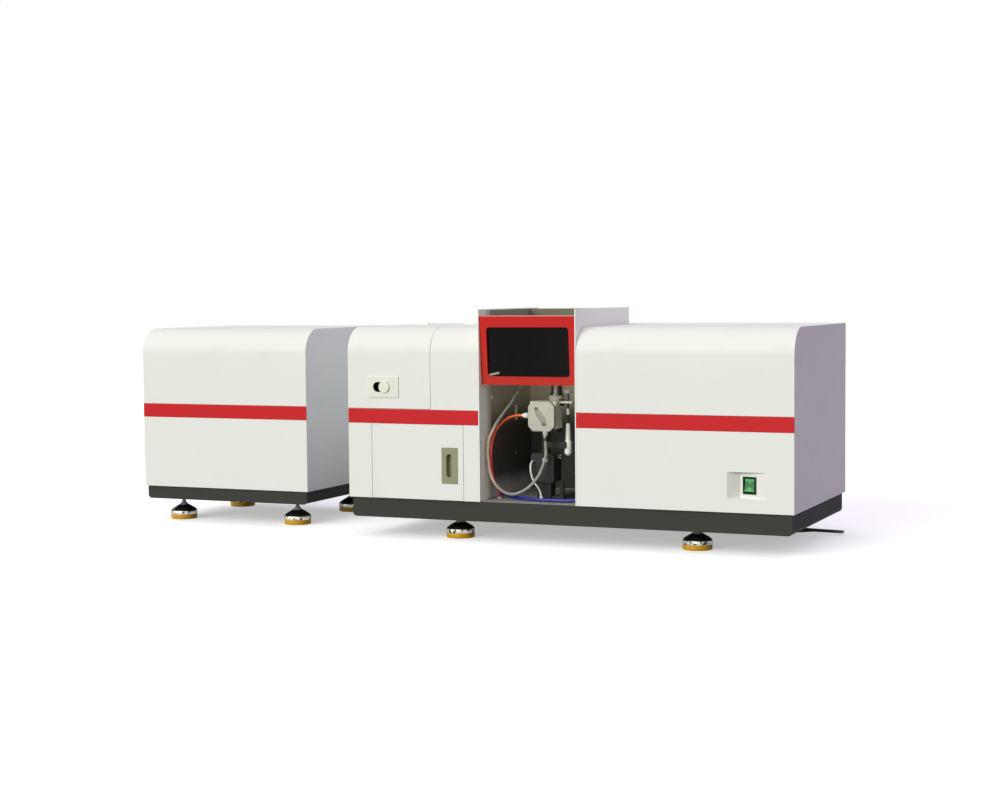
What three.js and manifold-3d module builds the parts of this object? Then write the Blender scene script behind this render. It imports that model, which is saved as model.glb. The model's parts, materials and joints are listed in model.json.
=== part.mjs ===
// Atomic absorption spectrometer with the power cabinet of its graphite furnace, in millimetres, +Z up.
// X runs along the front to the right, Y runs from the front to the back, and the table is at Z 0.
// Each cabinet is built in its own frame: X 0 at its left side, Y 0 at its front.
import * as THREE from 'three';
import { mergeVertices } from 'three/addons/utils/BufferGeometryUtils.js';
import Module from 'manifold-3d';

const wasm = await Module();
wasm.setup();

// Gaps and small sizes that many pieces share
const GAP = 0.3;
const OVERRUN = 5;
const SHEET = 2.5;
const SEAM = 1;
const ROUND_STEPS = 8;
const TURNED_SIDES = 16;

// Spectrometer casing
const LAMP_LENGTH = 320;
const BAY_LENGTH = 228;
const OPTICS_LENGTH = 472;
const UNIT_DEPTH = 447;
const CABINET_BOTTOM = 90;
const CABINET_TOP = 470;
const FRONT_RADIUS = 58;
const STRIPE_BOTTOM = 256.5;
const STRIPE_HEIGHT = 32.5;
const STRIPE_THICK = 1.2;
const FLANGE = 18;

// Base trays
const BASE_INSET = 5.6;
const BASE_BOTTOM = 46;
const BASE_CORNER = 9;
const BASE_SHEET = 3;
const BOSS_RADIUS = 15;

// Levelling feet, from the table up
const FOOT_PAD_RADIUS = 31.5;
const FOOT_PAD_HEIGHT = 9.8;
const FOOT_BAND_RADIUS = 32;
const FOOT_BAND_HEIGHT = 10.4;
const FOOT_SHOULDER_RADIUS = 31;
const FOOT_BELL_HEIGHT = 14;
const FOOT_COLLAR_RADIUS = 11;
const FOOT_COLLAR_HEIGHT = 4;
const FOOT_SCREW_RADIUS = 5;
const FOOT_SCREW_ENGAGED = 22;
const FOOT_LEFT_X = 240;
const FOOT_RIGHT_X = 792;
const FOOT_INSET_Y = 75;

// Lamp lid and its latch
const LID_LENGTH = 205.5;
const LID_DEPTH = 300;
const LID_SHEET = 2;
const LID_KNUCKLE_RADIUS = 3.5;
const LID_KNUCKLE_LENGTH = 30;
const LID_KNUCKLE_INSET = 25;
const LATCH_LEFT = 51.5;
const LATCH_BOTTOM = 314.5;
const LATCH_LENGTH = 75.5;
const LATCH_HEIGHT = 46;
const LATCH_PLATE = 2;
const LATCH_SLOT_LENGTH = 50;
const LATCH_SLOT_HEIGHT = 22;
const LATCH_BUTTON_RADIUS = 13;
const LATCH_BUTTON_THICK = 2.4;
const LATCH_STEM_RADIUS = 8;
const LATCH_WASHER_RADIUS = 14;
const LATCH_WASHER_THICK = 1.6;
const LATCH_BUTTON_OFFSET = 3;

// Gas door, its hinge and its pull
const DOOR_LEFT = 58;
const DOOR_RIGHT_CLEAR = 36;
const DOOR_FOLD = 10;
const HINGE_INSET = 10;
const HINGE_DEPTH = 4.5;
const HINGE_PIN_RADIUS = 2;
const HINGE_TAB_THICK = 3;
const HINGE_TAB_REACH = 20;
const HINGE_TAB_DEPTH = 12;
const HINGE_SWEEP = 1;
const HINGE_BLOCK_LENGTH = 16;
const HINGE_BLOCK_HEIGHT = 9;
const PULL_INSET = 14;
const PULL_BOTTOM = 127;
const PULL_LENGTH = 39;
const PULL_HEIGHT = 79;
const PULL_DEPTH = 14;
const PULL_LIP = 3;
const PULL_SLOT_LENGTH = 13;
const PULL_SLOT_HEIGHT = 51;
const PULL_SLOT_INSET = 11;
const PULL_WALL = 2;

// Burner bay: hood sheet and dark liner
const HOOD_TOP = 508.6;
const HOOD_DEPTH = 335;
const HOOD_SHEET = 2.2;
const LINER_FRONT = 43;
const LINER_BACK = 285;
const LINER_SHEET = 1.5;
const LINER_DROP = 2;
const BEAM_Y = 165;
const BEAM_Z = 390;
const BEAM_TUBE_RADIUS = 20;
const BEAM_BORE_RADIUS = 16;

// Flame door
const FLAME_DOOR_THICK = 6;
const FLAME_DOOR_HEIGHT = 150;
const FLAME_DOOR_DROP = 13.6;
const FLAME_DOOR_SIDE = 15;
const FLAME_DOOR_HEAD = 25;
const FLAME_DOOR_FOOT = 18;
const FLAME_DOOR_CORNER = 7;
const FLAME_DOOR_GLASS = 3;
const FLAME_DOOR_LAP = 6;
const FLAME_DOOR_SIDE_GAP = 0.8;
const FLAME_PIN_RADIUS = 2.5;
const FLAME_PIN_DROP = 6;
const FLAME_PIN_DEPTH = 6;
const FLAME_DOOR_LEAN_DEG = 4.2;

// Switch pocket and mains switch
const POCKET_LEFT = 331;
const POCKET_DEEP = 356;
const POCKET_RIGHT = 417;
const POCKET_BOTTOM = 119;
const POCKET_HEIGHT = 55;
const POCKET_DEPTH = 12;
const SWITCH_LENGTH = 30;
const SWITCH_HEIGHT = 36;
const SWITCH_RIM = 2;
const SWITCH_BODY_INSET = 2;
const SWITCH_BODY_DEPTH = 18;
const SWITCH_OFFSET = 21;
const ROCKER_LENGTH = 21.5;
const ROCKER_RADIUS = 13.5;
const ROCKER_CLEAR = 0.5;
const ROCKER_FRONT = 4.4;
const ROCKER_DISH = 1;
const ROCKER_BACK = 1.5;
const ROCKER_PIVOT_DEPTH = 2.5;
const ROCKER_TILT_DEG = 8;
const ROCKER_CAVITY_DEPTH = 8;

// Burner group in the bay
const BURNER_X = 117.5;
const BLOCK_LENGTH = 62;
const BLOCK_BOTTOM = 241;
const BLOCK_HEIGHT = 66;
const BLOCK_FRONT = 72;
const BLOCK_THICK = 12;
const BLOCK_CHAMFER = 11;
const SPIGOT_RADIUS = 5;
const SPIGOT_LENGTH = 21;
const SPIGOT_OFFSET = 8;
const SPIGOT_BOSS_RADIUS = 6;
const SPIGOT_BOSS_LENGTH = 9;
const CHAMBER_DEPTH = 36;
const CHAMBER_HEIGHT = 60;
const CHAMBER_RISE = 5;
const CHAMBER_BARREL_RADIUS = 25;
const CHAMBER_BARREL_LENGTH = 80;
const NECK_SOCKET_RADIUS = 17;
const NECK_SOCKET_TOP = 315;
const EAR_LENGTH = 29.5;
const EAR_DEPTH = 26;
const EAR_THICK = 5;
const NEBULISER_RADIUS = 4;
const NEBULISER_NUT_RADIUS = 5.5;
const NEBULISER_NUT_LENGTH = 14;
const NEBULISER_LENGTH = 12;
const NEBULISER_RISE = 34;
const HEAD_NECK_RADIUS = 12.5;
const HEAD_COLLAR_RADIUS = 14.5;
const HEAD_COLLAR_HEIGHT = 5;
const HEAD_BOTTOM = 350;
const HEAD_TOP = 380;
const HEAD_LENGTH = 120;
const HEAD_WIDTH = 32;
const HEAD_TAPER = 8;
const HEAD_SLOT_LENGTH = 100;
const HEAD_SLOT_WIDTH = 1;
const HEAD_SLOT_DEPTH = 6;
const TRAP_X = 163;
const TRAP_Y = 118;
const TRAP_TUBE_RADIUS = 3.4;
const TRAP_NECK_RADIUS = 5.4;
const TRAP_BODY_RADIUS = 8.4;
const TRAP_NECK_TOP = 257;
const TRAP_BODY_TOP = 217;
const TRAP_BODY_BOTTOM = 190;
const TRAP_TIP = 185;
const KNOB_RADIUS = 9;
const KNOB_HEIGHT = 8;
const KNOB_STEM_RADIUS = 3;
const KNOB_STEM_LENGTH = 17;

// Burner lift
const LIFT_X = 112.5;
const LIFT_Y = 112;
const LIFT_BLOCK_LENGTH = 54;
const LIFT_BLOCK_DEPTH = 45;
const LIFT_BLOCK_BOTTOM = 127;
const LIFT_BLOCK_TOP = 191;
const LIFT_BLOCK_CORNER = 7;
const LIFT_PEDESTAL_SHARE = 0.6;
const LIFT_POST_RADIUS = 9;
const LIFT_POST_ENGAGED = 32;
const LIFT_TRAVEL = 10;
const LIFT_ARM_BOTTOM = 203.5;
const LIFT_ARM_THICK = 13;
const LIFT_ARM_REACH = 49.5;
const LIFT_ARM_DEPTH = 16;
const SADDLE_THICK = 7;
const GUIDE_RADIUS = 5.8;
const GUIDE_HEIGHT = 34;
const GUIDE_OFFSET = 38;
const GUIDE_FOOT_DEPTH = 16;
const HEIGHT_KNOB_Z = 183;
const HEIGHT_KNOB_RADIUS = 5;
const HEIGHT_KNOB_LENGTH = 11.5;
const HEIGHT_SHAFT_RADIUS = 2.5;
const HEIGHT_SHAFT_LENGTH = 6;

// Hoses of the burner bay, as points in the spectrometer's frame
const OXIDANT_RADIUS = 3.4;
const FUEL_RADIUS = 3;
const AIR_RADIUS = 3.6;
const SAMPLE_RADIUS = 2;
const HOSE_SIDES = 8;
const FERRULE_RADIUS = 5;
const FERRULE_LENGTH = 4;
const LEAD_IN = 7;
const OXIDANT_PORT_X = 44;
const OXIDANT_PORT_DROP = 80.6;
const AIR_PORT_Z = 99;
const FUEL_PORT_X = 23;
const FUEL_PORT_Y = 60;
const AIR_PORT_Y = 94;
const AIR_OUT_Y = 34;

// Lamp turret and hollow cathode lamps
const LAMP_PITCH_RADIUS = 48;
const LAMP_COUNT = 4;
const LAMP_GLASS_RADIUS = 18.5;
const LAMP_WINDOW_RADIUS = 12;
const LAMP_BASE_RADIUS = 16;
const LAMP_BASE_LENGTH = 28;
const LAMP_GLASS_LENGTH = 82;
const LAMP_TAPER_LENGTH = 10;
const LAMP_WINDOW_LENGTH = 34;
const LAMP_START = 26;
const TURRET_DISC_RADIUS = 74;
const TURRET_DISC_THICK = 5;
const TURRET_BACK_DISC = 40;
const TURRET_FRONT_DISC = 118;
const TURRET_SHAFT_RADIUS = 6;
const TURRET_SHAFT_START = 9;
const STAND_THICK = 6;
const STAND_X = 12;
const STAND_WIDTH = 60;
const SHELF_THICK = 3;
const SHELF_TOP = 262;
const SHELF_FRONT = 14;
const SHELF_BACK_INSET = 20;
const LENS_TUBE_START = 186;

// Gas box behind the gas door
const GAS_BOX_FRONT = 160;
const GAS_BOX_BACK_CLEAR = 57;
const GAS_BOX_RIGHT_CLEAR = 43;
const GAS_BOX_HEIGHT = 140;
const GAS_BOX_LEFT = 62;
const REGULATOR_RADIUS = 18;
const REGULATOR_LENGTH = 30;
const REGULATOR_OFFSET = 55;

// Optics and electronics in the right cabinet, X from that cabinet's left side
const BENCH_LEFT = 20;
const BENCH_LENGTH = 430;
const BENCH_FRONT = 42;
const BENCH_DEPTH = 370;
const BENCH_TOP = 300;
const BENCH_THICK = 12;
const BENCH_LEG = 22;
const MONO_LEFT = 26;
const MONO_LENGTH = 330;
const MONO_FRONT = 60;
const MONO_DEPTH = 330;
const MONO_HEIGHT = 150;
const MONO_WALL = 8;
const MONO_SLIT_LENGTH = 14;
const MONO_SLIT_WIDTH = 1.5;
const DETECTOR_RADIUS = 26;
const DETECTOR_HEIGHT = 120;
const DETECTOR_OFFSET = 0.62;
const BOARD_LEFT = 60;
const BOARD_LENGTH = 210;
const BOARD_FRONT = 190;
const BOARD_DEPTH = 160;
const BOARD_THICK = 2;
const BOARD_LIFT = 14;
const BOARD_POST_RADIUS = 4;
const BOARD_POST_INSET = 10;
const BOARD_PART_HEIGHT = 16;
const TRANSFORMER_LENGTH = 96;
const TRANSFORMER_DEPTH = 84;
const TRANSFORMER_HEIGHT = 88;
const TRANSFORMER_COIL = 12;
const TRANSFORMER_LEFT = 320;
const TRANSFORMER_FRONT = 240;

// Rear panels
const VENT_LENGTH = 90;
const VENT_HEIGHT = 5;
const VENT_PITCH = 12;
const VENT_COUNT = 6;
const VENT_BOTTOM = 360;
const VENT_INSET = 60;

// Furnace power cabinet
const POWER_LENGTH = 452;
const POWER_DEPTH = 400;
const POWER_BOTTOM = 84.5;
const POWER_TOP = 464;
const POWER_RADIUS = 58;
const POWER_STRIPE_BOTTOM = 252;
const POWER_BASE_BOTTOM = 54;
const POWER_BASE_INSET = 5;
const POWER_FOOT_INSET = 66;
const POWER_GAP = 157;
const POWER_SET_BACK = 84;
const POWER_TRANSFORMER_LENGTH = 210;
const POWER_TRANSFORMER_DEPTH = 180;
const POWER_TRANSFORMER_HEIGHT = 190;
const POWER_TRANSFORMER_COIL = 26;

// Mains lead
const CORD_RADIUS = 3.5;
const CORD_SIDES = 8;
const GLAND_X = 860;
const GLAND_Z = 122;
const GLAND_RADIUS = 10;
const GLAND_FLANGE = 4;
const GLAND_LENGTH = 38;
const GLAND_TIP_RADIUS = 5;
const COIL_X = 690;
const COIL_Y = 540;
const COIL_TURNS = 5;
const COIL_MID_RADIUS = 38.5;
const COIL_PITCH = 7.8;
const COIL_STEPS = 24;
const COIL_SIDES = 6;
const COIL_TAIL = 36;
const PLUG_LENGTH = 42;
const PLUG_WIDTH = 30;
const PLUG_HEIGHT = 24;
const PLUG_PIN_LENGTH = 18;
const PLUG_PIN_WIDTH = 6;
const PLUG_PIN_THICK = 2;
const PLUG_PIN_SPREAD = 13;
const PLUG_NOSE_LENGTH = 14;
const PLUG_NOSE_RADIUS = 6;

const UNIT_LENGTH = LAMP_LENGTH + BAY_LENGTH + OPTICS_LENGTH;
const OPTICS_LEFT = LAMP_LENGTH + BAY_LENGTH;
const STRIPE_TOP = STRIPE_BOTTOM + STRIPE_HEIGHT;
const BASE_TOP = CABINET_BOTTOM - GAP;
const FLOOR_TOP = CABINET_BOTTOM + LINER_SHEET;
const REAR_FACE = UNIT_DEPTH + GAP + SHEET;
const LID_HINGE_Y = LID_DEPTH + GAP;

const whitePaint = [0.91, 0.915, 0.9];
const materials = {
  white: material(whitePaint, 0.45, 0),
  red: material([0.8, 0.15, 0.17], 0.45, 0),
  dark: material([0.27, 0.275, 0.26], 0.55, 0),
  liner: material([0.22, 0.22, 0.2], 0.6, 0),
  glass: material([0.06, 0.055, 0.055], 0.15, 0),
  ivory: material([0.88, 0.88, 0.8], 0.5, 0),
  olive: material([0.6, 0.6, 0.5], 0.55, 0),
  black: material([0.05, 0.05, 0.05], 0.5, 0),
  steel: material([0.72, 0.72, 0.7], 0.35, 0.9),
  cast: material([0.5, 0.52, 0.53], 0.6, 0.5),
  green: material([0.1, 0.6, 0.25], 0.3, 0),
  orange: material([0.9, 0.33, 0.12], 0.5, 0),
  blue: material([0.12, 0.17, 0.65], 0.4, 0),
  clear: material([0.72, 0.7, 0.68], 0.3, 0),
  plastic: material([0.93, 0.93, 0.92], 0.45, 0),
  amber: material([0.8, 0.6, 0.12], 0.6, 0),
  copper: material([0.7, 0.42, 0.22], 0.4, 0.8),
  board: material([0.1, 0.35, 0.18], 0.6, 0),
};

function material([red, green, blue], roughness, metalness) {
  const made = new THREE.MeshStandardMaterial({ roughness, metalness });
  made.color.setRGB(red, green, blue, THREE.SRGBColorSpace);
  return made;
}

// A closed three.js geometry as a solid: corners merged, faces of no area left out, faces pointing out
function solid(geometry) {
  const bare = new THREE.BufferGeometry();
  bare.setAttribute('position', geometry.getAttribute('position').clone());
  bare.setIndex(geometry.getIndex());
  const merged = mergeVertices(bare, 1e-4);
  const places = merged.getAttribute('position').array;
  const corners = merged.getIndex().array;
  const kept = [];
  let volume = 0;
  const [a, b, c] = [new THREE.Vector3(), new THREE.Vector3(), new THREE.Vector3()];
  for (let i = 0; i < corners.length; i += 3) {
    const [p, q, r] = [corners[i], corners[i + 1], corners[i + 2]];
    if (p === q || q === r || r === p) {
      continue;
    }
    kept.push(p, q, r);
    a.fromArray(places, 3 * p);
    b.fromArray(places, 3 * q);
    c.fromArray(places, 3 * r);
    volume += a.dot(b.cross(c));
  }
  const outward = volume > 0 ? kept : kept.reverse();
  return new wasm.Manifold(new wasm.Mesh({
    numProp: 3,
    vertProperties: new Float32Array(places),
    triVerts: new Uint32Array(outward),
  }));
}

function geometryOf(body) {
  const { vertProperties, triVerts, numProp } = body.getMesh();
  const geometry = new THREE.BufferGeometry();
  const stride = new THREE.InterleavedBuffer(new Float32Array(vertProperties), numProp);
  geometry.setAttribute('position', new THREE.InterleavedBufferAttribute(stride, 3, 0));
  geometry.setIndex(new THREE.BufferAttribute(new Uint32Array(triVerts), 1));
  const plain = geometry.toNonIndexed();
  plain.computeVertexNormals();
  return plain;
}

const join = (first, ...others) => others.reduce((body, other) => body.add(other), first);
const cut = (first, ...others) => others.reduce((body, other) => body.subtract(other), first);

// Box between two corners
function box(x0, x1, y0, y1, z0, z1) {
  const geometry = new THREE.BoxGeometry(x1 - x0, y1 - y0, z1 - z0);
  geometry.translate((x0 + x1) / 2, (y0 + y1) / 2, (z0 + z1) / 2);
  return solid(geometry);
}

const alongX = new THREE.Matrix4().makeBasis(
  new THREE.Vector3(0, 1, 0), new THREE.Vector3(0, 0, 1), new THREE.Vector3(1, 0, 0));
const alongY = new THREE.Matrix4().makeBasis(
  new THREE.Vector3(0, 0, 1), new THREE.Vector3(1, 0, 0), new THREE.Vector3(0, 1, 0));

function extruded(shape, from, to, basis) {
  const geometry = new THREE.ExtrudeGeometry(shape, {
    depth: to - from, bevelEnabled: false, curveSegments: ROUND_STEPS,
  });
  geometry.translate(0, 0, from);
  if (basis) {
    geometry.applyMatrix4(basis);
  }
  return solid(geometry);
}

// Outline in Y and Z, carried along X
const prismX = (shape, from, to) => extruded(shape, from, to, alongX);
// Outline in Z and X, carried along Y
const prismY = (shape, from, to) => extruded(shape, from, to, alongY);
// Outline in X and Y, carried along Z
const prismZ = (shape, from, to) => extruded(shape, from, to, null);

function outline(points) {
  return new THREE.Shape(points.map(([u, v]) => new THREE.Vector2(u, v)));
}

// Rectangle with round corners, given by its two corner points
function roundedShape(u0, v0, u1, v1, radius) {
  const shape = new THREE.Shape();
  shape.moveTo(u0 + radius, v0);
  shape.lineTo(u1 - radius, v0);
  shape.absarc(u1 - radius, v0 + radius, radius, -Math.PI / 2, 0, false);
  shape.lineTo(u1, v1 - radius);
  shape.absarc(u1 - radius, v1 - radius, radius, 0, Math.PI / 2, false);
  shape.lineTo(u0 + radius, v1);
  shape.absarc(u0 + radius, v1 - radius, radius, Math.PI / 2, Math.PI, false);
  shape.lineTo(u0, v0 + radius);
  shape.absarc(u0 + radius, v0 + radius, radius, Math.PI, 1.5 * Math.PI, false);
  return shape;
}

// Solid of revolution round Z from [radius, z] points, then moved
function turned(points, x, y, z, sides = TURNED_SIDES) {
  const profile = [[0, points[0][1]], ...points, [0, points[points.length - 1][1]]];
  const geometry = new THREE.LatheGeometry(
    profile.map(([radius, height]) => new THREE.Vector2(radius, height)), sides);
  geometry.rotateX(Math.PI / 2);
  geometry.translate(x, y, z);
  return solid(geometry);
}

const X_AXIS = new THREE.Vector3(1, 0, 0);
const Y_AXIS = new THREE.Vector3(0, 1, 0);

// Solid of revolution round an axis that starts at a place and points along X or Y
function turnedAlong(points, axis, x, y, z, sides = TURNED_SIDES) {
  const profile = [[0, points[0][1]], ...points, [0, points[points.length - 1][1]]];
  const geometry = new THREE.LatheGeometry(
    profile.map(([radius, height]) => new THREE.Vector2(radius, height)), sides);
  const turn = new THREE.Quaternion().setFromUnitVectors(Y_AXIS, axis);
  geometry.applyQuaternion(turn);
  geometry.translate(x, y, z);
  return solid(geometry);
}

const cylinderX = (radius, from, to, y, z) =>
  turnedAlong([[radius, 0], [radius, to - from]], X_AXIS, from, y, z);
const cylinderY = (radius, from, to, x, z) =>
  turnedAlong([[radius, 0], [radius, to - from]], Y_AXIS, x, from, z);
const cylinderZ = (radius, from, to, x, y) => turned([[radius, 0], [radius, to - from]], x, y, from);

// Tube of a given radius along a smooth curve through points
function tube(points, radius, sides, steps) {
  const ring = [];
  for (let i = 0; i < sides; i += 1) {
    const angle = 2 * Math.PI * i / sides;
    ring.push([radius * Math.cos(angle), radius * Math.sin(angle)]);
  }
  const path = new THREE.CatmullRomCurve3(points.map(([x, y, z]) => new THREE.Vector3(x, y, z)));
  const geometry = new THREE.ExtrudeGeometry(outline(ring), { steps, extrudePath: path, bevelEnabled: false });
  return solid(geometry);
}

function mesh(name, body, finish) {
  const made = new THREE.Mesh(body.isBufferGeometry ? body : geometryOf(body), finish);
  made.name = name;
  return made;
}

// Cabinet outline in Y and Z with its round front top, drawn in by an inset, open ends run past
function casingShape(depth, bottom, top, radius, inset, past) {
  const shape = new THREE.Shape();
  shape.moveTo(inset, bottom - past);
  shape.lineTo(inset, top - radius);
  shape.absarc(radius, top - radius, radius - inset, Math.PI, Math.PI / 2, true);
  shape.lineTo(depth + past, top - inset);
  shape.lineTo(depth + past, bottom - past);
  return shape;
}

// Casing of sheet metal: front, round top and two sides, open behind, with a flange to stand on
function casing(left, right, depth, bottom, top, radius) {
  const outer = prismX(casingShape(depth, bottom, top, radius, 0, 0), left, right);
  const inner = prismX(casingShape(depth, bottom, top, radius, SHEET, OVERRUN), left + SHEET, right - SHEET);
  const flange = cut(
    box(left + SHEET / 2, right - SHEET / 2, SHEET / 2, depth, bottom, bottom + SHEET),
    box(left + FLANGE, right - FLANGE, FLANGE, depth + OVERRUN, bottom - OVERRUN, bottom + FLANGE));
  return join(cut(outer, inner), flange);
}

function stripeRecess(left, right, bottom) {
  return box(left - OVERRUN, right + OVERRUN, -OVERRUN, STRIPE_THICK + GAP, bottom, bottom + STRIPE_HEIGHT);
}

function stripe(left, right, bottom) {
  return box(left, right, 0, STRIPE_THICK, bottom + GAP, bottom + STRIPE_HEIGHT - GAP);
}

// Tray turned upside down: a deck with a skirt, and a boss for each foot's screw
function baseTray(length, depth, inset, bottom, top, feet) {
  const outer = prismY(
    roundedShape(bottom, inset, top + BASE_CORNER, length - inset, BASE_CORNER), inset, depth - inset);
  const deck = box(-length, 2 * length, -depth, 2 * depth, top, top + length);
  const hollow = box(
    inset + BASE_SHEET, length - inset - BASE_SHEET,
    inset + BASE_SHEET, depth - inset - BASE_SHEET, bottom - OVERRUN, top - BASE_SHEET);
  const bosses = feet.map(([x, y]) => cylinderZ(BOSS_RADIUS, bottom, top - BASE_SHEET / 2, x, y));
  const bores = feet.map(([x, y]) => cylinderZ(
    FOOT_SCREW_RADIUS + GAP, bottom - OVERRUN, bottom + FOOT_SCREW_ENGAGED + GAP, x, y));
  return cut(join(cut(outer, deck, hollow), ...bosses), ...bores);
}

// Levelling foot: pad, knurled band, bell, collar and screw, turned about its own axis
function footGeometry(bottomOfBase) {
  const bandTop = FOOT_PAD_HEIGHT + FOOT_BAND_HEIGHT;
  const bellTop = bandTop + FOOT_BELL_HEIGHT;
  return turned([
    [FOOT_PAD_RADIUS, 0],
    [FOOT_PAD_RADIUS, FOOT_PAD_HEIGHT],
    [FOOT_BAND_RADIUS, FOOT_PAD_HEIGHT],
    [FOOT_BAND_RADIUS, bandTop],
    [FOOT_SHOULDER_RADIUS, bandTop],
    [FOOT_COLLAR_RADIUS, bellTop],
    [FOOT_COLLAR_RADIUS, bellTop + FOOT_COLLAR_HEIGHT],
    [FOOT_SCREW_RADIUS, bellTop + FOOT_COLLAR_HEIGHT],
    [FOOT_SCREW_RADIUS, bottomOfBase + FOOT_SCREW_ENGAGED],
  ], 0, 0, 0);
}

function addFeet(group, names, places, bottomOfBase) {
  const shape = geometryOf(footGeometry(bottomOfBase));
  places.forEach(([x, y], i) => {
    const foot = mesh(names[i], shape, materials.black);
    foot.position.set(x, y, 0);
    group.add(foot);
  });
}

// Lamp housing, its lid and its doors

const casingBand = (inset, sheet, from, to) => cut(
  prismX(casingShape(UNIT_DEPTH, CABINET_BOTTOM, CABINET_TOP, FRONT_RADIUS, inset, 0), from, to),
  prismX(casingShape(UNIT_DEPTH, CABINET_BOTTOM, CABINET_TOP, FRONT_RADIUS, inset + sheet, OVERRUN),
    from - OVERRUN, to + OVERRUN));

const knuckleStarts = [
  LID_KNUCKLE_INSET,
  LID_LENGTH - LID_KNUCKLE_INSET - LID_KNUCKLE_LENGTH,
];
const KNUCKLE_Z = CABINET_TOP;

function lampLid() {
  const skin = casingBand(0, LID_SHEET, 0, LID_LENGTH - SEAM);
  const keep = box(
    -OVERRUN, LID_LENGTH, -OVERRUN, LID_DEPTH, STRIPE_TOP + SEAM, CABINET_TOP + OVERRUN);
  const knuckles = knuckleStarts.map((start) =>
    cylinderX(LID_KNUCKLE_RADIUS, start, start + LID_KNUCKLE_LENGTH, LID_HINGE_Y, KNUCKLE_Z));
  const slot = latchSlot(GAP, -OVERRUN, LID_SHEET + OVERRUN);
  return cut(join(skin.intersect(keep), ...knuckles), slot);
}

// Slot with round ends in the latch plate and, a little wider, in the lid behind it
function latchSlot(wider, from, to) {
  const middle = LATCH_LEFT + LATCH_LENGTH / 2;
  const level = LATCH_BOTTOM + LATCH_HEIGHT / 2;
  const half = LATCH_SLOT_HEIGHT / 2 + wider;
  return prismY(roundedShape(
    level - half, middle - LATCH_SLOT_LENGTH / 2 - wider,
    level + half, middle + LATCH_SLOT_LENGTH / 2 + wider, half - GAP), from, to);
}

function latchPlate() {
  const plate = box(
    LATCH_LEFT, LATCH_LEFT + LATCH_LENGTH, -GAP - LATCH_PLATE, -GAP,
    LATCH_BOTTOM, LATCH_BOTTOM + LATCH_HEIGHT);
  return cut(plate, latchSlot(0, -OVERRUN, OVERRUN));
}

// Round button in front of the plate, a stem through the slot and a washer behind the lid
function latchButton() {
  const x = LATCH_LEFT + LATCH_LENGTH / 2 + LATCH_BUTTON_OFFSET;
  const z = LATCH_BOTTOM + LATCH_HEIGHT / 2;
  const face = -GAP - LATCH_PLATE - GAP;
  const behind = LID_SHEET + GAP;
  return turnedAlong([
    [LATCH_BUTTON_RADIUS, face - LATCH_BUTTON_THICK],
    [LATCH_BUTTON_RADIUS, face],
    [LATCH_STEM_RADIUS, face],
    [LATCH_STEM_RADIUS, behind],
    [LATCH_WASHER_RADIUS, behind],
    [LATCH_WASHER_RADIUS, behind + LATCH_WASHER_THICK],
  ], Y_AXIS, x, 0, z);
}

const doorEnd = LAMP_LENGTH - DOOR_RIGHT_CLEAR;
const pullLeft = doorEnd - PULL_INSET - PULL_LENGTH;
const pinX = DOOR_LEFT + SEAM + HINGE_INSET;

function hingeTab(bottom) {
  return box(
    DOOR_LEFT - HINGE_TAB_REACH, DOOR_LEFT + HINGE_TAB_REACH, SHEET / 2, HINGE_TAB_DEPTH,
    bottom, bottom + HINGE_TAB_THICK);
}

function lampHousing() {
  const shell = casing(0, LAMP_LENGTH, UNIT_DEPTH, CABINET_BOTTOM, CABINET_TOP, FRONT_RADIUS);
  const lidOpening = box(
    SHEET, LID_LENGTH, -OVERRUN, LID_DEPTH + GAP, STRIPE_TOP, CABINET_TOP + OVERRUN);
  const lidSeat = casingBand(-OVERRUN, LID_SHEET + GAP + OVERRUN, -OVERRUN, LID_LENGTH).intersect(
    box(-OVERRUN, LID_LENGTH, -OVERRUN, LID_DEPTH + GAP, STRIPE_TOP, CABINET_TOP + OVERRUN));
  const notches = knuckleStarts.map((start) => cylinderX(
    LID_KNUCKLE_RADIUS + GAP, start - GAP, start + LID_KNUCKLE_LENGTH + GAP, LID_HINGE_Y, KNUCKLE_Z));
  const doorOpening = box(
    DOOR_LEFT, doorEnd, -OVERRUN, HINGE_TAB_DEPTH + GAP, CABINET_BOTTOM - OVERRUN, STRIPE_BOTTOM);
  const tabs = [hingeTab(CABINET_BOTTOM), hingeTab(STRIPE_BOTTOM - HINGE_TAB_THICK)];
  const pinHole = cylinderZ(
    HINGE_PIN_RADIUS + GAP, CABINET_BOTTOM - OVERRUN, STRIPE_BOTTOM, pinX, HINGE_DEPTH);
  const lintel = box(
    DOOR_LEFT, LAMP_LENGTH - SHEET / 2, SHEET / 2, HINGE_TAB_DEPTH, STRIPE_BOTTOM,
    STRIPE_BOTTOM + HINGE_TAB_THICK);
  const opened = cut(shell, lidOpening, lidSeat, ...notches, doorOpening);
  return cut(
    join(opened, ...tabs, lintel), pinHole, stripeRecess(0, LAMP_LENGTH, STRIPE_BOTTOM),
    cylinderX(BEAM_TUBE_RADIUS + GAP, LAMP_LENGTH - 2 * SHEET, LAMP_LENGTH + OVERRUN, BEAM_Y, BEAM_Z),
    airPort(LAMP_LENGTH - 2 * SHEET, LAMP_LENGTH + OVERRUN));
}

// Hole for the air hose low in the wall between the lamp housing and the burner bay
function airPort(from, to) {
  return cylinderX(FERRULE_RADIUS + GAP, from, to, AIR_PORT_Y, AIR_PORT_Z);
}

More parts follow.
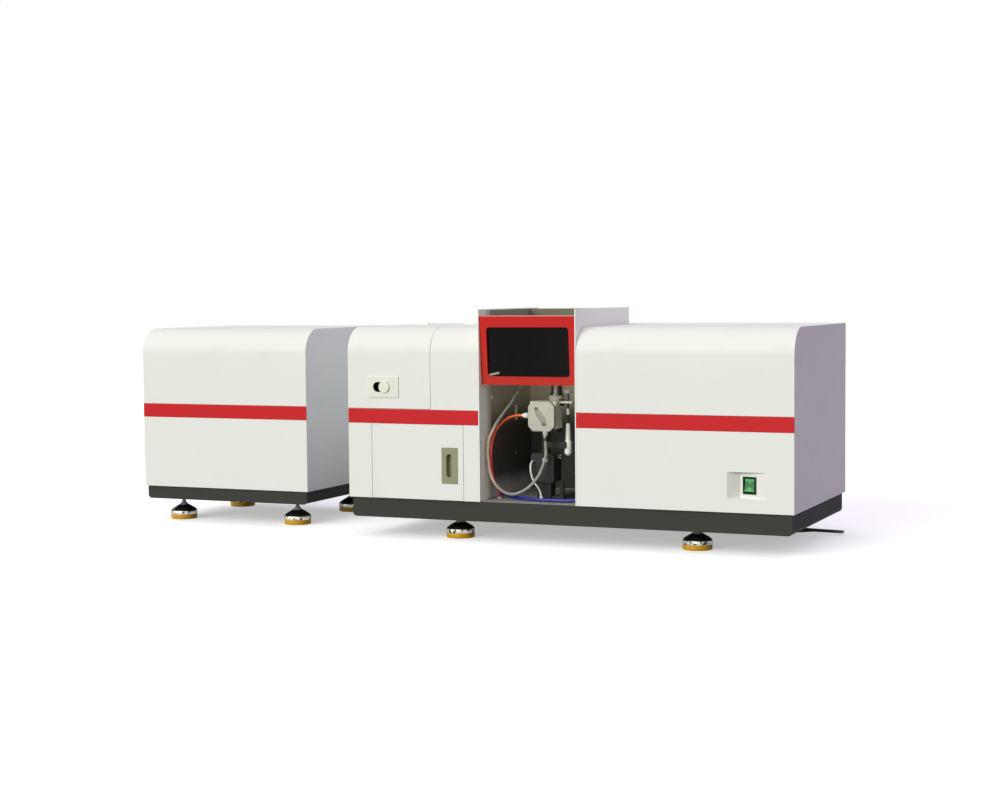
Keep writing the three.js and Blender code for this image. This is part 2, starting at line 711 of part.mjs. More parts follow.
// Door of folded sheet with a block and a pin at each end of its hinge side
function gasDoor() {
  const left = DOOR_LEFT + SEAM;
  const right = doorEnd - SEAM;
  const bottom = CABINET_BOTTOM + GAP;
  const top = STRIPE_BOTTOM - GAP;
  const pan = cut(
    box(left, right, 0, DOOR_FOLD, bottom, top),
    box(left + SHEET, right - SHEET, SHEET, DOOR_FOLD + OVERRUN, bottom + SHEET, top - SHEET));
  const notchTop = CABINET_BOTTOM + HINGE_TAB_THICK + GAP;
  const notchBottom = STRIPE_BOTTOM - HINGE_TAB_THICK - GAP;
  const notchRight = DOOR_LEFT + HINGE_TAB_REACH + HINGE_SWEEP;
  const notches = [
    box(left - OVERRUN, notchRight, -OVERRUN, DOOR_FOLD + OVERRUN, bottom - OVERRUN, notchTop),
    box(left - OVERRUN, notchRight, -OVERRUN, DOOR_FOLD + OVERRUN, notchBottom, top + OVERRUN),
  ];
  const blocks = [
    box(left, left + HINGE_BLOCK_LENGTH, SHEET / 2, DOOR_FOLD, notchTop, notchTop + HINGE_BLOCK_HEIGHT),
    box(left, left + HINGE_BLOCK_LENGTH, SHEET / 2, DOOR_FOLD, notchBottom - HINGE_BLOCK_HEIGHT, notchBottom),
  ];
  const folds = [
    box(notchRight, right, SHEET / 2, DOOR_FOLD, bottom, bottom + SHEET),
    box(notchRight, right, SHEET / 2, DOOR_FOLD, top - SHEET, top),
  ];
  const pins = [
    cylinderZ(HINGE_PIN_RADIUS, bottom, notchTop + HINGE_BLOCK_HEIGHT / 2, pinX, HINGE_DEPTH),
    cylinderZ(HINGE_PIN_RADIUS, notchBottom - HINGE_BLOCK_HEIGHT / 2, top, pinX, HINGE_DEPTH),
  ];
  const pullHole = box(
    pullLeft - GAP, pullLeft + PULL_LENGTH + GAP, -OVERRUN, SHEET + OVERRUN,
    PULL_BOTTOM - GAP, PULL_BOTTOM + PULL_HEIGHT + GAP);
  return cut(join(cut(pan, ...notches), ...blocks, ...folds, ...pins), pullHole);
}

// Sunk pull: a flush plate with a finger slot, its cup behind, and a lip that holds it in the door
function gasDoorPull() {
  const right = pullLeft + PULL_LENGTH;
  const top = PULL_BOTTOM + PULL_HEIGHT;
  const plate = box(pullLeft, right, 0, PULL_DEPTH, PULL_BOTTOM, top);
  const lip = box(
    pullLeft - PULL_LIP, right + PULL_LIP, SHEET + GAP, SHEET + GAP + PULL_WALL,
    PULL_BOTTOM - PULL_LIP, top + PULL_LIP);
  const slotLeft = pullLeft + PULL_SLOT_INSET;
  const slotBottom = PULL_BOTTOM + (PULL_HEIGHT - PULL_SLOT_HEIGHT) / 2;
  const slot = prismY(roundedShape(
    slotBottom, slotLeft, slotBottom + PULL_SLOT_HEIGHT, slotLeft + PULL_SLOT_LENGTH,
    PULL_SLOT_LENGTH / 2 - GAP), -OVERRUN, PULL_DEPTH - PULL_WALL);
  return cut(join(plate, lip), slot);
}

// Burner bay

const hoodLeft = LAMP_LENGTH + GAP;
const hoodRight = OPTICS_LEFT - GAP;
const wallLeft = hoodLeft + HOOD_SHEET;
const wallRight = hoodRight - HOOD_SHEET;
const flamePinY = FLAME_PIN_DEPTH;
const flameDoorTop = HOOD_TOP - FLAME_DOOR_DROP;
const flamePinZ = flameDoorTop - FLAME_PIN_DROP;

function burnerHood() {
  const sheet = cut(
    box(hoodLeft, hoodRight, 0, HOOD_DEPTH, CABINET_BOTTOM, HOOD_TOP),
    box(wallLeft, wallRight, -OVERRUN, HOOD_DEPTH - HOOD_SHEET,
      CABINET_BOTTOM - OVERRUN, HOOD_TOP + OVERRUN));
  return cut(
    sheet,
    cylinderX(BEAM_TUBE_RADIUS + GAP, hoodLeft - OVERRUN, hoodRight + OVERRUN, BEAM_Y, BEAM_Z),
    cylinderX(FLAME_PIN_RADIUS + GAP, hoodLeft - OVERRUN, hoodRight + OVERRUN, flamePinY, flamePinZ),
    airPort(hoodLeft - OVERRUN, wallLeft + OVERRUN));
}

const linerLeft = wallLeft + GAP;
const linerRight = wallRight - GAP;
const linerInLeft = linerLeft + LINER_SHEET;
const linerInRight = linerRight - LINER_SHEET;

const oxidantPortZ = HOOD_TOP - OXIDANT_PORT_DROP;

// Folded liner: floor, back and two sides, with a ferrule for each hose that ends on it
function bayLiner() {
  const outer = box(
    linerLeft, linerRight, LINER_FRONT, LINER_BACK, CABINET_BOTTOM, HOOD_TOP - LINER_DROP);
  const inner = box(
    linerInLeft, linerInRight, LINER_FRONT - OVERRUN, LINER_BACK - LINER_SHEET,
    FLOOR_TOP, HOOD_TOP + OVERRUN);
  const floor = box(
    linerInLeft, linerInRight, BASE_INSET, LINER_FRONT + OVERRUN, CABINET_BOTTOM, FLOOR_TOP);
  const beamHole = cylinderX(
    BEAM_TUBE_RADIUS + GAP, linerLeft - OVERRUN, linerRight + OVERRUN, BEAM_Y, BEAM_Z);
  const fuel = cylinderZ(
    FERRULE_RADIUS, CABINET_BOTTOM, FLOOR_TOP + FERRULE_LENGTH, LAMP_LENGTH + FUEL_PORT_X, FUEL_PORT_Y);
  const air = cylinderX(
    FERRULE_RADIUS, hoodLeft, linerInLeft + FERRULE_LENGTH, AIR_PORT_Y, AIR_PORT_Z);
  const oxidant = cylinderY(
    FERRULE_RADIUS, LINER_BACK - LINER_SHEET - FERRULE_LENGTH, LINER_BACK,
    LAMP_LENGTH + OXIDANT_PORT_X, oxidantPortZ);
  return join(cut(join(cut(outer, inner), floor), beamHole), fuel, air, oxidant);
}

// Flame door, in the frame of its hinge: X along the axis, Z up from it

const doorLeft = wallLeft + FLAME_DOOR_SIDE_GAP;
const doorRight = wallRight - FLAME_DOOR_SIDE_GAP;
const doorHigh = FLAME_PIN_DROP;
const doorLow = doorHigh - FLAME_DOOR_HEIGHT;

function flameDoor() {
  const half = FLAME_DOOR_THICK / 2;
  const plate = box(doorLeft, doorRight, -half, half, doorLow, doorHigh);
  const window = prismY(roundedShape(
    doorLow + FLAME_DOOR_FOOT, doorLeft + FLAME_DOOR_SIDE,
    doorHigh - FLAME_DOOR_HEAD, doorRight - FLAME_DOOR_SIDE, FLAME_DOOR_CORNER), -OVERRUN, OVERRUN);
  const reach = FLAME_DOOR_SIDE_GAP + HOOD_SHEET;
  const pin = cylinderX(FLAME_PIN_RADIUS, doorLeft - reach, doorRight + reach, 0, 0);
  const between = box(
    doorLeft + FLAME_DOOR_SIDE / 2, doorRight - FLAME_DOOR_SIDE / 2, -OVERRUN, OVERRUN,
    -FLAME_PIN_DROP, FLAME_PIN_DROP);
  return join(cut(plate, window), cut(pin, between));
}

function flameDoorGlass() {
  const near = FLAME_DOOR_THICK / 2 + GAP;
  return box(
    doorLeft + FLAME_DOOR_SIDE - FLAME_DOOR_LAP, doorRight - FLAME_DOOR_SIDE + FLAME_DOOR_LAP,
    near, near + FLAME_DOOR_GLASS,
    doorLow + FLAME_DOOR_FOOT - FLAME_DOOR_LAP, doorHigh - FLAME_DOOR_HEAD + FLAME_DOOR_LAP);
}

// Burner group, X from the burner bay's left side

const burnerX = LAMP_LENGTH + BURNER_X;
const blockLeft = burnerX - BLOCK_LENGTH / 2;
const blockRight = burnerX + BLOCK_LENGTH / 2;
const blockTop = BLOCK_BOTTOM + BLOCK_HEIGHT;
const spigotX = burnerX + SPIGOT_OFFSET;
const nebuliserZ = BLOCK_BOTTOM + NEBULISER_RISE;
const blockMiddle = BLOCK_FRONT + BLOCK_THICK / 2;

// Eight-sided end block with a boss and a spigot below it
function nebuliserBlock() {
  const [low, high, cornerCut] = [BLOCK_BOTTOM, blockTop, BLOCK_CHAMFER];
  const plate = prismY(outline([
    [low, blockLeft + cornerCut], [low, blockRight - cornerCut],
    [low + cornerCut, blockRight], [high - cornerCut, blockRight],
    [high, blockRight - cornerCut], [high, blockLeft + cornerCut],
    [high - cornerCut, blockLeft], [low + cornerCut, blockLeft],
  ]), BLOCK_FRONT, BLOCK_FRONT + BLOCK_THICK);
  const boss = cylinderZ(
    SPIGOT_BOSS_RADIUS, low - SPIGOT_BOSS_LENGTH, low + OVERRUN, spigotX, blockMiddle);
  const spigot = cylinderZ(SPIGOT_RADIUS, low - SPIGOT_LENGTH, low, spigotX, blockMiddle);
  const seat = cylinderX(
    NEBULISER_RADIUS + GAP, blockLeft - OVERRUN, blockLeft + NEBULISER_LENGTH + GAP,
    blockMiddle, nebuliserZ);
  return cut(join(plate, boss, spigot), seat);
}

// Nebuliser body in the block's side, with its nut outside
function nebuliser() {
  const start = blockLeft - GAP - NEBULISER_NUT_LENGTH;
  return turnedAlong([
    [NEBULISER_RADIUS, 0],
    [NEBULISER_NUT_RADIUS, NEBULISER_NUT_LENGTH / 2],
    [NEBULISER_NUT_RADIUS, NEBULISER_NUT_LENGTH],
    [NEBULISER_RADIUS, NEBULISER_NUT_LENGTH],
    [NEBULISER_RADIUS, NEBULISER_NUT_LENGTH + NEBULISER_LENGTH],
  ], X_AXIS, start, blockMiddle, nebuliserZ);
}

const chamberFront = BLOCK_FRONT + BLOCK_THICK + GAP;
const chamberBack = chamberFront + CHAMBER_DEPTH;
const chamberBottom = BLOCK_BOTTOM + CHAMBER_RISE;
const chamberLevel = chamberBottom + CHAMBER_HEIGHT / 2;
const earBottom = chamberBottom + CHAMBER_HEIGHT - EAR_THICK;

// Spray chamber: square front, round barrel, socket for the burner head, and an ear on its right
function sprayChamber() {
  const front = box(
    blockLeft, blockRight, chamberFront, chamberBack,
    chamberBottom, chamberBottom + CHAMBER_HEIGHT);
  const barrel = cylinderY(
    CHAMBER_BARREL_RADIUS, chamberBack - OVERRUN, chamberBack + CHAMBER_BARREL_LENGTH,
    burnerX, chamberLevel);
  const socket = cylinderZ(NECK_SOCKET_RADIUS, chamberLevel, NECK_SOCKET_TOP, burnerX, BEAM_Y);
  const ear = box(
    blockRight - OVERRUN, blockRight + EAR_LENGTH, TRAP_Y - EAR_DEPTH / 2, TRAP_Y + EAR_DEPTH / 2,
    earBottom, earBottom + EAR_THICK);
  const neckBore = cylinderZ(
    HEAD_NECK_RADIUS + GAP, chamberLevel + GAP, NECK_SOCKET_TOP + OVERRUN, burnerX, BEAM_Y);
  const knobBore = cylinderZ(
    KNOB_STEM_RADIUS + GAP, earBottom - OVERRUN, earBottom + EAR_THICK + OVERRUN,
    LAMP_LENGTH + TRAP_X, TRAP_Y);
  return cut(join(front, barrel, socket, ear), neckBore, knobBore);
}

// Burner head in its own frame: neck axis at the origin, real heights
function burnerHead() {
  const half = HEAD_LENGTH / 2;
  const section = outline([
    [-HEAD_WIDTH / 2, HEAD_BOTTOM], [HEAD_WIDTH / 2, HEAD_BOTTOM],
    [HEAD_WIDTH / 2, HEAD_TOP - HEAD_TAPER], [HEAD_WIDTH / 2 - HEAD_TAPER, HEAD_TOP],
    [HEAD_TAPER - HEAD_WIDTH / 2, HEAD_TOP], [-HEAD_WIDTH / 2, HEAD_TOP - HEAD_TAPER],
  ]);
  const neck = cylinderZ(
    HEAD_NECK_RADIUS, chamberLevel + 2 * GAP, HEAD_BOTTOM + OVERRUN, 0, 0);
  const collar = cylinderZ(
    HEAD_COLLAR_RADIUS, NECK_SOCKET_TOP + GAP, NECK_SOCKET_TOP + GAP + HEAD_COLLAR_HEIGHT, 0, 0);
  const slot = box(
    -HEAD_SLOT_LENGTH / 2, HEAD_SLOT_LENGTH / 2, -HEAD_SLOT_WIDTH / 2, HEAD_SLOT_WIDTH / 2,
    HEAD_TOP - HEAD_SLOT_DEPTH, HEAD_TOP + OVERRUN);
  return cut(join(prismX(section, -half, half), neck, collar), slot);
}

// Drain trap: a thin tube under the ear, a narrow neck, a wider body and a tip
function drainTrap() {
  const top = earBottom - GAP;
  return turned([
    [TRAP_TUBE_RADIUS / 2, TRAP_TIP],
    [TRAP_BODY_RADIUS, TRAP_BODY_BOTTOM],
    [TRAP_BODY_RADIUS, TRAP_BODY_TOP],
    [TRAP_NECK_RADIUS, TRAP_BODY_TOP],
    [TRAP_NECK_RADIUS, TRAP_NECK_TOP],
    [TRAP_TUBE_RADIUS, TRAP_NECK_TOP],
    [TRAP_TUBE_RADIUS, top],
  ], LAMP_LENGTH + TRAP_X, TRAP_Y, 0);
}

function clampKnob() {
  const under = earBottom + EAR_THICK + KNOB_STEM_LENGTH;
  return turned([
    [KNOB_STEM_RADIUS, earBottom],
    [KNOB_STEM_RADIUS, under],
    [KNOB_RADIUS, under],
    [KNOB_RADIUS, under + KNOB_HEIGHT],
  ], LAMP_LENGTH + TRAP_X, TRAP_Y, 0);
}

// Burner lift, X from the burner bay's left side

const liftX = LAMP_LENGTH + LIFT_X;
const guideX = liftX + GUIDE_OFFSET;

function liftBlock() {
  const [halfLength, halfDepth] = [LIFT_BLOCK_LENGTH / 2, LIFT_BLOCK_DEPTH / 2];
  const body = prismY(roundedShape(
    LIFT_BLOCK_BOTTOM, liftX - halfLength, LIFT_BLOCK_TOP, liftX + halfLength, LIFT_BLOCK_CORNER),
  LIFT_Y - halfDepth, LIFT_Y + halfDepth);
  const pedestal = box(
    liftX - LIFT_PEDESTAL_SHARE * halfLength, liftX + LIFT_PEDESTAL_SHARE * halfLength,
    LIFT_Y - LIFT_PEDESTAL_SHARE * halfDepth, LIFT_Y + LIFT_PEDESTAL_SHARE * halfDepth,
    FLOOR_TOP + GAP, LIFT_BLOCK_BOTTOM + OVERRUN);
  const guide = cylinderZ(GUIDE_RADIUS, FLOOR_TOP + GAP, FLOOR_TOP + GUIDE_HEIGHT, guideX, LIFT_Y);
  const foot = box(
    liftX, guideX + GUIDE_RADIUS, LIFT_Y - GUIDE_FOOT_DEPTH / 2, LIFT_Y + GUIDE_FOOT_DEPTH / 2,
    FLOOR_TOP + GAP, FLOOR_TOP + OVERRUN);
  const bore = cylinderZ(
    LIFT_POST_RADIUS + GAP, LIFT_BLOCK_TOP - LIFT_POST_ENGAGED - LIFT_TRAVEL - GAP,
    LIFT_BLOCK_TOP + OVERRUN, liftX, LIFT_Y);
  const shaftBore = cylinderX(
    HEIGHT_SHAFT_RADIUS + GAP, liftX + halfLength - HEIGHT_SHAFT_LENGTH - GAP,
    liftX + halfLength + OVERRUN, LIFT_Y, HEIGHT_KNOB_Z);
  return cut(join(body, pedestal, guide, foot), bore, shaftBore);
}

// Sliding post with a side arm and the saddle that carries the spray chamber
function liftPost() {
  const saddleTop = chamberBottom - GAP;
  const post = cylinderZ(
    LIFT_POST_RADIUS, LIFT_BLOCK_TOP - LIFT_POST_ENGAGED, saddleTop - SADDLE_THICK / 2, liftX, LIFT_Y);
  const saddle = box(
    blockLeft, blockRight, chamberFront, chamberBack, saddleTop - SADDLE_THICK, saddleTop);
  const arm = box(
    liftX, liftX + LIFT_ARM_REACH, LIFT_Y - LIFT_ARM_DEPTH / 2, LIFT_Y + LIFT_ARM_DEPTH / 2,
    LIFT_ARM_BOTTOM, LIFT_ARM_BOTTOM + LIFT_ARM_THICK);
  const trap = cylinderZ(
    TRAP_BODY_RADIUS + GAP, LIFT_ARM_BOTTOM - OVERRUN, LIFT_ARM_BOTTOM + LIFT_ARM_THICK + OVERRUN,
    LAMP_LENGTH + TRAP_X, TRAP_Y);
  return cut(join(post, saddle, arm), trap);
}

function heightKnob() {
  const face = liftX + LIFT_BLOCK_LENGTH / 2;
  return turnedAlong([
    [HEIGHT_SHAFT_RADIUS, -HEIGHT_SHAFT_LENGTH],
    [HEIGHT_SHAFT_RADIUS, GAP],
    [HEIGHT_KNOB_RADIUS, GAP],
    [HEIGHT_KNOB_RADIUS, HEIGHT_KNOB_LENGTH],
  ], X_AXIS, face, LIFT_Y, HEIGHT_KNOB_Z);
}

// Hoses, as points in the bay's frame, X from its left side. Their ends follow the pieces they meet,
// and the points between are chosen by hand.

const ferruleX = linerInLeft + FERRULE_LENGTH + GAP - LAMP_LENGTH;
const ferruleY = LINER_BACK - LINER_SHEET - FERRULE_LENGTH - GAP;
const ferruleZ = FLOOR_TOP + FERRULE_LENGTH + GAP;
const spigotEnd = BLOCK_BOTTOM - SPIGOT_LENGTH - GAP;
const nebuliserEnd = blockLeft - NEBULISER_NUT_LENGTH - 2 * GAP - LAMP_LENGTH;
const liftFront = LIFT_Y - LIFT_BLOCK_DEPTH / 2 - GAP;
const airOut = linerInRight - GAP - LAMP_LENGTH;

const OXIDANT_ROUTE = [
  [spigotX - LAMP_LENGTH, blockMiddle, spigotEnd], [spigotX - LAMP_LENGTH, blockMiddle, spigotEnd - LEAD_IN],
  [127.3, 75, 190], [122.6, 67, 164], [112.5, 57, 139], [92, 47, 116.5], [62, 38, 105], [39, 31, 114],
  [20, 29, 138], [11, 28, 177], [11, 29, 219], [24, 36, 254], [34, 52, 277], [43, 78, 300],
  [48, 105, 324], [49.5, 122, 337], [46, 140, 349], [41.5, 160, 365], [39, 190, 388], [40.5, 226, 411],
  [OXIDANT_PORT_X, ferruleY - 3 * LEAD_IN, 424.6],
  [OXIDANT_PORT_X, ferruleY - LEAD_IN, oxidantPortZ], [OXIDANT_PORT_X, ferruleY, oxidantPortZ],
];
const FUEL_ROUTE = [
  [nebuliserEnd, blockMiddle, nebuliserZ], [nebuliserEnd - LEAD_IN, blockMiddle, nebuliserZ],
  [54, 74, 274], [40, 66, 268], [26.5, 53, 253], [17.5, 41, 229], [14, 35, 195], [14.5, 37.5, 162],
  [16, 43, 141], [18.4, 49.5, 126], [21, 55.5, 113.5],
  [FUEL_PORT_X, FUEL_PORT_Y, ferruleZ + LEAD_IN], [FUEL_PORT_X, FUEL_PORT_Y, ferruleZ],
];
const AIR_ROUTE = [
  [ferruleX, AIR_PORT_Y, AIR_PORT_Z], [ferruleX + LEAD_IN, AIR_PORT_Y, AIR_PORT_Z],
  [27, 89, 97.8], [38, 80.5, 96.4], [49, 69, 95.8], [64, 56, 95.8], [86, 45, 95.8], [121, 37, 95.8],
  [160, 34.5, 96], [195, AIR_OUT_Y, 96.5],
  [airOut - LEAD_IN, AIR_OUT_Y, AIR_PORT_Z], [airOut, AIR_OUT_Y, AIR_PORT_Z],
];
const SAMPLE_ROUTE = [
  [90.5, liftFront, 174], [90.5, liftFront - LEAD_IN / 2, 173.7], [90.5, 80.4, 171.4], [90.5, 76.7, 167.2],
  [90.7, 74.7, 161.3], [91.5, 74.4, 152], [94, 75.5, 140], [99, 77, 127.5], [107, 78.5, 116.5],
  [112, 79, 106], [114, 79, FLOOR_TOP + GAP],
];
const HOSE_STEPS = { oxidant: 44, fuel: 26, air: 22, sample: 16 };

const hose = (route, radius, steps) =>
  tube(route.map(([x, y, z]) => [LAMP_LENGTH + x, y, z]), radius, HOSE_SIDES, steps);

// Lamp turret, in the frame of its own axis: X along it

function turretBody() {
  const ringHole = (angle, from, to, radius) => cylinderX(
    radius + GAP, from - OVERRUN, to + OVERRUN,
    LAMP_PITCH_RADIUS * Math.cos(angle), LAMP_PITCH_RADIUS * Math.sin(angle));
  const discs = [[TURRET_BACK_DISC, LAMP_BASE_RADIUS], [TURRET_FRONT_DISC, LAMP_GLASS_RADIUS]].map(
    ([start, radius]) => cut(
      cylinderX(TURRET_DISC_RADIUS, start, start + TURRET_DISC_THICK, 0, 0),
      ...lampAngles.map((angle) => ringHole(angle, start, start + TURRET_DISC_THICK, radius))));
  const shaft = cylinderX(
    TURRET_SHAFT_RADIUS, TURRET_SHAFT_START, TURRET_FRONT_DISC + TURRET_DISC_THICK, 0, 0);
  return join(shaft, ...discs);
}

const lampAngles = Array.from({ length: LAMP_COUNT }, (_, i) => Math.PI / 2 + 2 * Math.PI * i / LAMP_COUNT);

// Hollow cathode lamp, from its base along X
function lamp() {
  const glass = LAMP_BASE_LENGTH + LAMP_GLASS_LENGTH;
  const window = glass + LAMP_TAPER_LENGTH;
  return turnedAlong([
    [LAMP_BASE_RADIUS, 0],
    [LAMP_BASE_RADIUS, LAMP_BASE_LENGTH],
    [LAMP_GLASS_RADIUS, LAMP_BASE_LENGTH],
    [LAMP_GLASS_RADIUS, glass],
    [LAMP_WINDOW_RADIUS, window],
    [LAMP_WINDOW_RADIUS, window + LAMP_WINDOW_LENGTH],
  ], X_AXIS, LAMP_START, 0, 0);
}

const turretZ = BEAM_Z - LAMP_PITCH_RADIUS;

// Shelf across the lamp housing with the upright that bears the turret's shaft
function turretStand() {
  const shelf = box(
    SHEET + GAP, LAMP_LENGTH - SHEET - GAP, SHELF_FRONT, UNIT_DEPTH - SHELF_BACK_INSET,
    SHELF_TOP - SHELF_THICK, SHELF_TOP);
  const upright = box(
    STAND_X, STAND_X + STAND_THICK, BEAM_Y - STAND_WIDTH / 2, BEAM_Y + STAND_WIDTH / 2,
    SHELF_TOP - SHELF_THICK / 2, turretZ + STAND_WIDTH / 2);
  const bore = cylinderX(
    TURRET_SHAFT_RADIUS + GAP, STAND_X - OVERRUN, STAND_X + STAND_THICK + OVERRUN, BEAM_Y, turretZ);
  return cut(join(shelf, upright), bore);
}

// Lens tube from the lamps through the walls into the bay
function lensTube() {
  return cut(
    cylinderX(BEAM_TUBE_RADIUS, LENS_TUBE_START, linerInLeft, BEAM_Y, BEAM_Z),
    cylinderX(BEAM_BORE_RADIUS, LENS_TUBE_START - OVERRUN, linerInLeft + OVERRUN, BEAM_Y, BEAM_Z));
}

function gasBox() {
  const right = LAMP_LENGTH - GAS_BOX_RIGHT_CLEAR;
  const level = CABINET_BOTTOM + GAS_BOX_HEIGHT / 2;
  const middle = (GAS_BOX_LEFT + right) / 2;
  const body = box(
    GAS_BOX_LEFT, right, GAS_BOX_FRONT, UNIT_DEPTH - GAS_BOX_BACK_CLEAR,
    CABINET_BOTTOM, CABINET_BOTTOM + GAS_BOX_HEIGHT);
  const regulators = [-REGULATOR_OFFSET, REGULATOR_OFFSET].map((offset) => cylinderY(
    REGULATOR_RADIUS, GAS_BOX_FRONT - REGULATOR_LENGTH, GAS_BOX_FRONT + OVERRUN, middle + offset, level));
  return join(body, ...regulators);
}

// Right cabinet

const pocketLeft = OPTICS_LEFT + POCKET_LEFT;
const pocketDeep = OPTICS_LEFT + POCKET_DEEP;
const pocketRight = OPTICS_LEFT + POCKET_RIGHT;
const slopeAngle = Math.atan2(POCKET_DEPTH, pocketRight - pocketDeep);
const switchX = pocketDeep + SWITCH_OFFSET;
const switchY = POCKET_DEPTH * (pocketRight - switchX) / (pocketRight - pocketDeep);
const switchZ = POCKET_BOTTOM + POCKET_HEIGHT / 2;

function opticsHousing() {
  const shell = casing(
    OPTICS_LEFT, UNIT_LENGTH, UNIT_DEPTH, CABINET_BOTTOM, CABINET_TOP, FRONT_RADIUS);
  const backing = prismZ(outline([
    [pocketLeft - SHEET, SHEET / 2], [pocketRight + 2 * SHEET, SHEET / 2],
    [pocketDeep, POCKET_DEPTH + SHEET],
  ]), POCKET_BOTTOM - SHEET, POCKET_BOTTOM + POCKET_HEIGHT + SHEET);
  const pocket = prismZ(outline([
    [pocketLeft, 0], [pocketLeft - SHEET, -OVERRUN], [pocketRight + SHEET, -OVERRUN],
    [pocketRight, 0], [pocketDeep, POCKET_DEPTH],
  ]), POCKET_BOTTOM, POCKET_BOTTOM + POCKET_HEIGHT);
  const half = SWITCH_LENGTH / 2 - SWITCH_BODY_INSET + GAP;
  const high = SWITCH_HEIGHT / 2 - SWITCH_BODY_INSET + GAP;
  const hole = new THREE.BoxGeometry(2 * half, 2 * SWITCH_BODY_DEPTH, 2 * high);
  hole.rotateZ(-slopeAngle);
  hole.translate(switchX, switchY, switchZ);
  const snout = cylinderX(
    BEAM_TUBE_RADIUS + GAP, OPTICS_LEFT - OVERRUN, OPTICS_LEFT + 2 * SHEET, BEAM_Y, BEAM_Z);
  return cut(
    join(shell, backing), pocket, solid(hole), snout,
    stripeRecess(OPTICS_LEFT, UNIT_LENGTH, STRIPE_BOTTOM));
}

// Mains switch in its own frame: X along the slope, Y into the cabinet, Z up
function switchBezel() {
  const rim = box(
    -SWITCH_LENGTH / 2, SWITCH_LENGTH / 2, -GAP - SWITCH_RIM, -GAP, -SWITCH_HEIGHT / 2, SWITCH_HEIGHT / 2);
  const [halfLength, halfHeight] = [
    SWITCH_LENGTH / 2 - SWITCH_BODY_INSET, SWITCH_HEIGHT / 2 - SWITCH_BODY_INSET];
  const body = box(-halfLength, halfLength, -GAP - SWITCH_RIM / 2, SWITCH_BODY_DEPTH, -halfHeight, halfHeight);
  const cavity = box(
    -ROCKER_LENGTH / 2 - ROCKER_CLEAR, ROCKER_LENGTH / 2 + ROCKER_CLEAR,
    -OVERRUN, ROCKER_CAVITY_DEPTH, -ROCKER_RADIUS - ROCKER_CLEAR, ROCKER_RADIUS + ROCKER_CLEAR);
  return cut(join(rim, body), cavity);
}

// Rocker in the frame of its pivot: a drum cut flat behind, with a shallow valley in front
function switchRocker() {
  const reach = (depth) => Math.sqrt(ROCKER_RADIUS ** 2 - depth ** 2);
  const section = outline([
    [ROCKER_BACK, -reach(ROCKER_BACK)], [ROCKER_BACK, reach(ROCKER_BACK)],
    [-ROCKER_FRONT, reach(ROCKER_FRONT)], [ROCKER_DISH - ROCKER_FRONT, 0],
    [-ROCKER_FRONT, -reach(ROCKER_FRONT)],
  ]);
  return prismX(section, -ROCKER_LENGTH / 2, ROCKER_LENGTH / 2);
}

function opticalBench() {
  const left = OPTICS_LEFT + BENCH_LEFT;
  const back = BENCH_FRONT + BENCH_DEPTH;
  const right = left + BENCH_LENGTH;
  const legs = [[left, BENCH_FRONT], [right - BENCH_LEG, BENCH_FRONT],
    [left, back - BENCH_LEG], [right - BENCH_LEG, back - BENCH_LEG]].map(([x, y]) => box(
    x, x + BENCH_LEG, y, y + BENCH_LEG, CABINET_BOTTOM, BENCH_TOP - BENCH_THICK / 2));
  return join(box(left, right, BENCH_FRONT, back, BENCH_TOP - BENCH_THICK, BENCH_TOP), ...legs);
}

// Monochromator casting, open below, with its entrance snout through the bay wall
function monochromator() {
  const left = OPTICS_LEFT + MONO_LEFT;
  const bottom = BENCH_TOP + GAP;
  const right = left + MONO_LENGTH;
  const back = MONO_FRONT + MONO_DEPTH;
  const body = cut(
    box(left, right, MONO_FRONT, back, bottom, bottom + MONO_HEIGHT),
    box(left + MONO_WALL, right - MONO_WALL, MONO_FRONT + MONO_WALL, back - MONO_WALL,
      bottom - OVERRUN, bottom + MONO_HEIGHT - MONO_WALL));
  const snout = cylinderX(BEAM_TUBE_RADIUS, linerInRight, left + MONO_WALL / 2, BEAM_Y, BEAM_Z);
  const bore = cylinderX(BEAM_BORE_RADIUS, linerInRight - OVERRUN, left + MONO_WALL / 2, BEAM_Y, BEAM_Z);
  const slit = box(
    left - OVERRUN, left + MONO_WALL + OVERRUN, BEAM_Y - MONO_SLIT_WIDTH / 2, BEAM_Y + MONO_SLIT_WIDTH / 2,
    BEAM_Z - MONO_SLIT_LENGTH / 2, BEAM_Z + MONO_SLIT_LENGTH / 2);
  return cut(join(body, snout), bore, slit);
}

function detector() {
  const x = OPTICS_LEFT + MONO_LEFT + MONO_LENGTH + GAP + DETECTOR_RADIUS;
  return cylinderZ(
    DETECTOR_RADIUS, BENCH_TOP + GAP, BENCH_TOP + DETECTOR_HEIGHT, x,
    MONO_FRONT + DETECTOR_OFFSET * MONO_DEPTH);
}

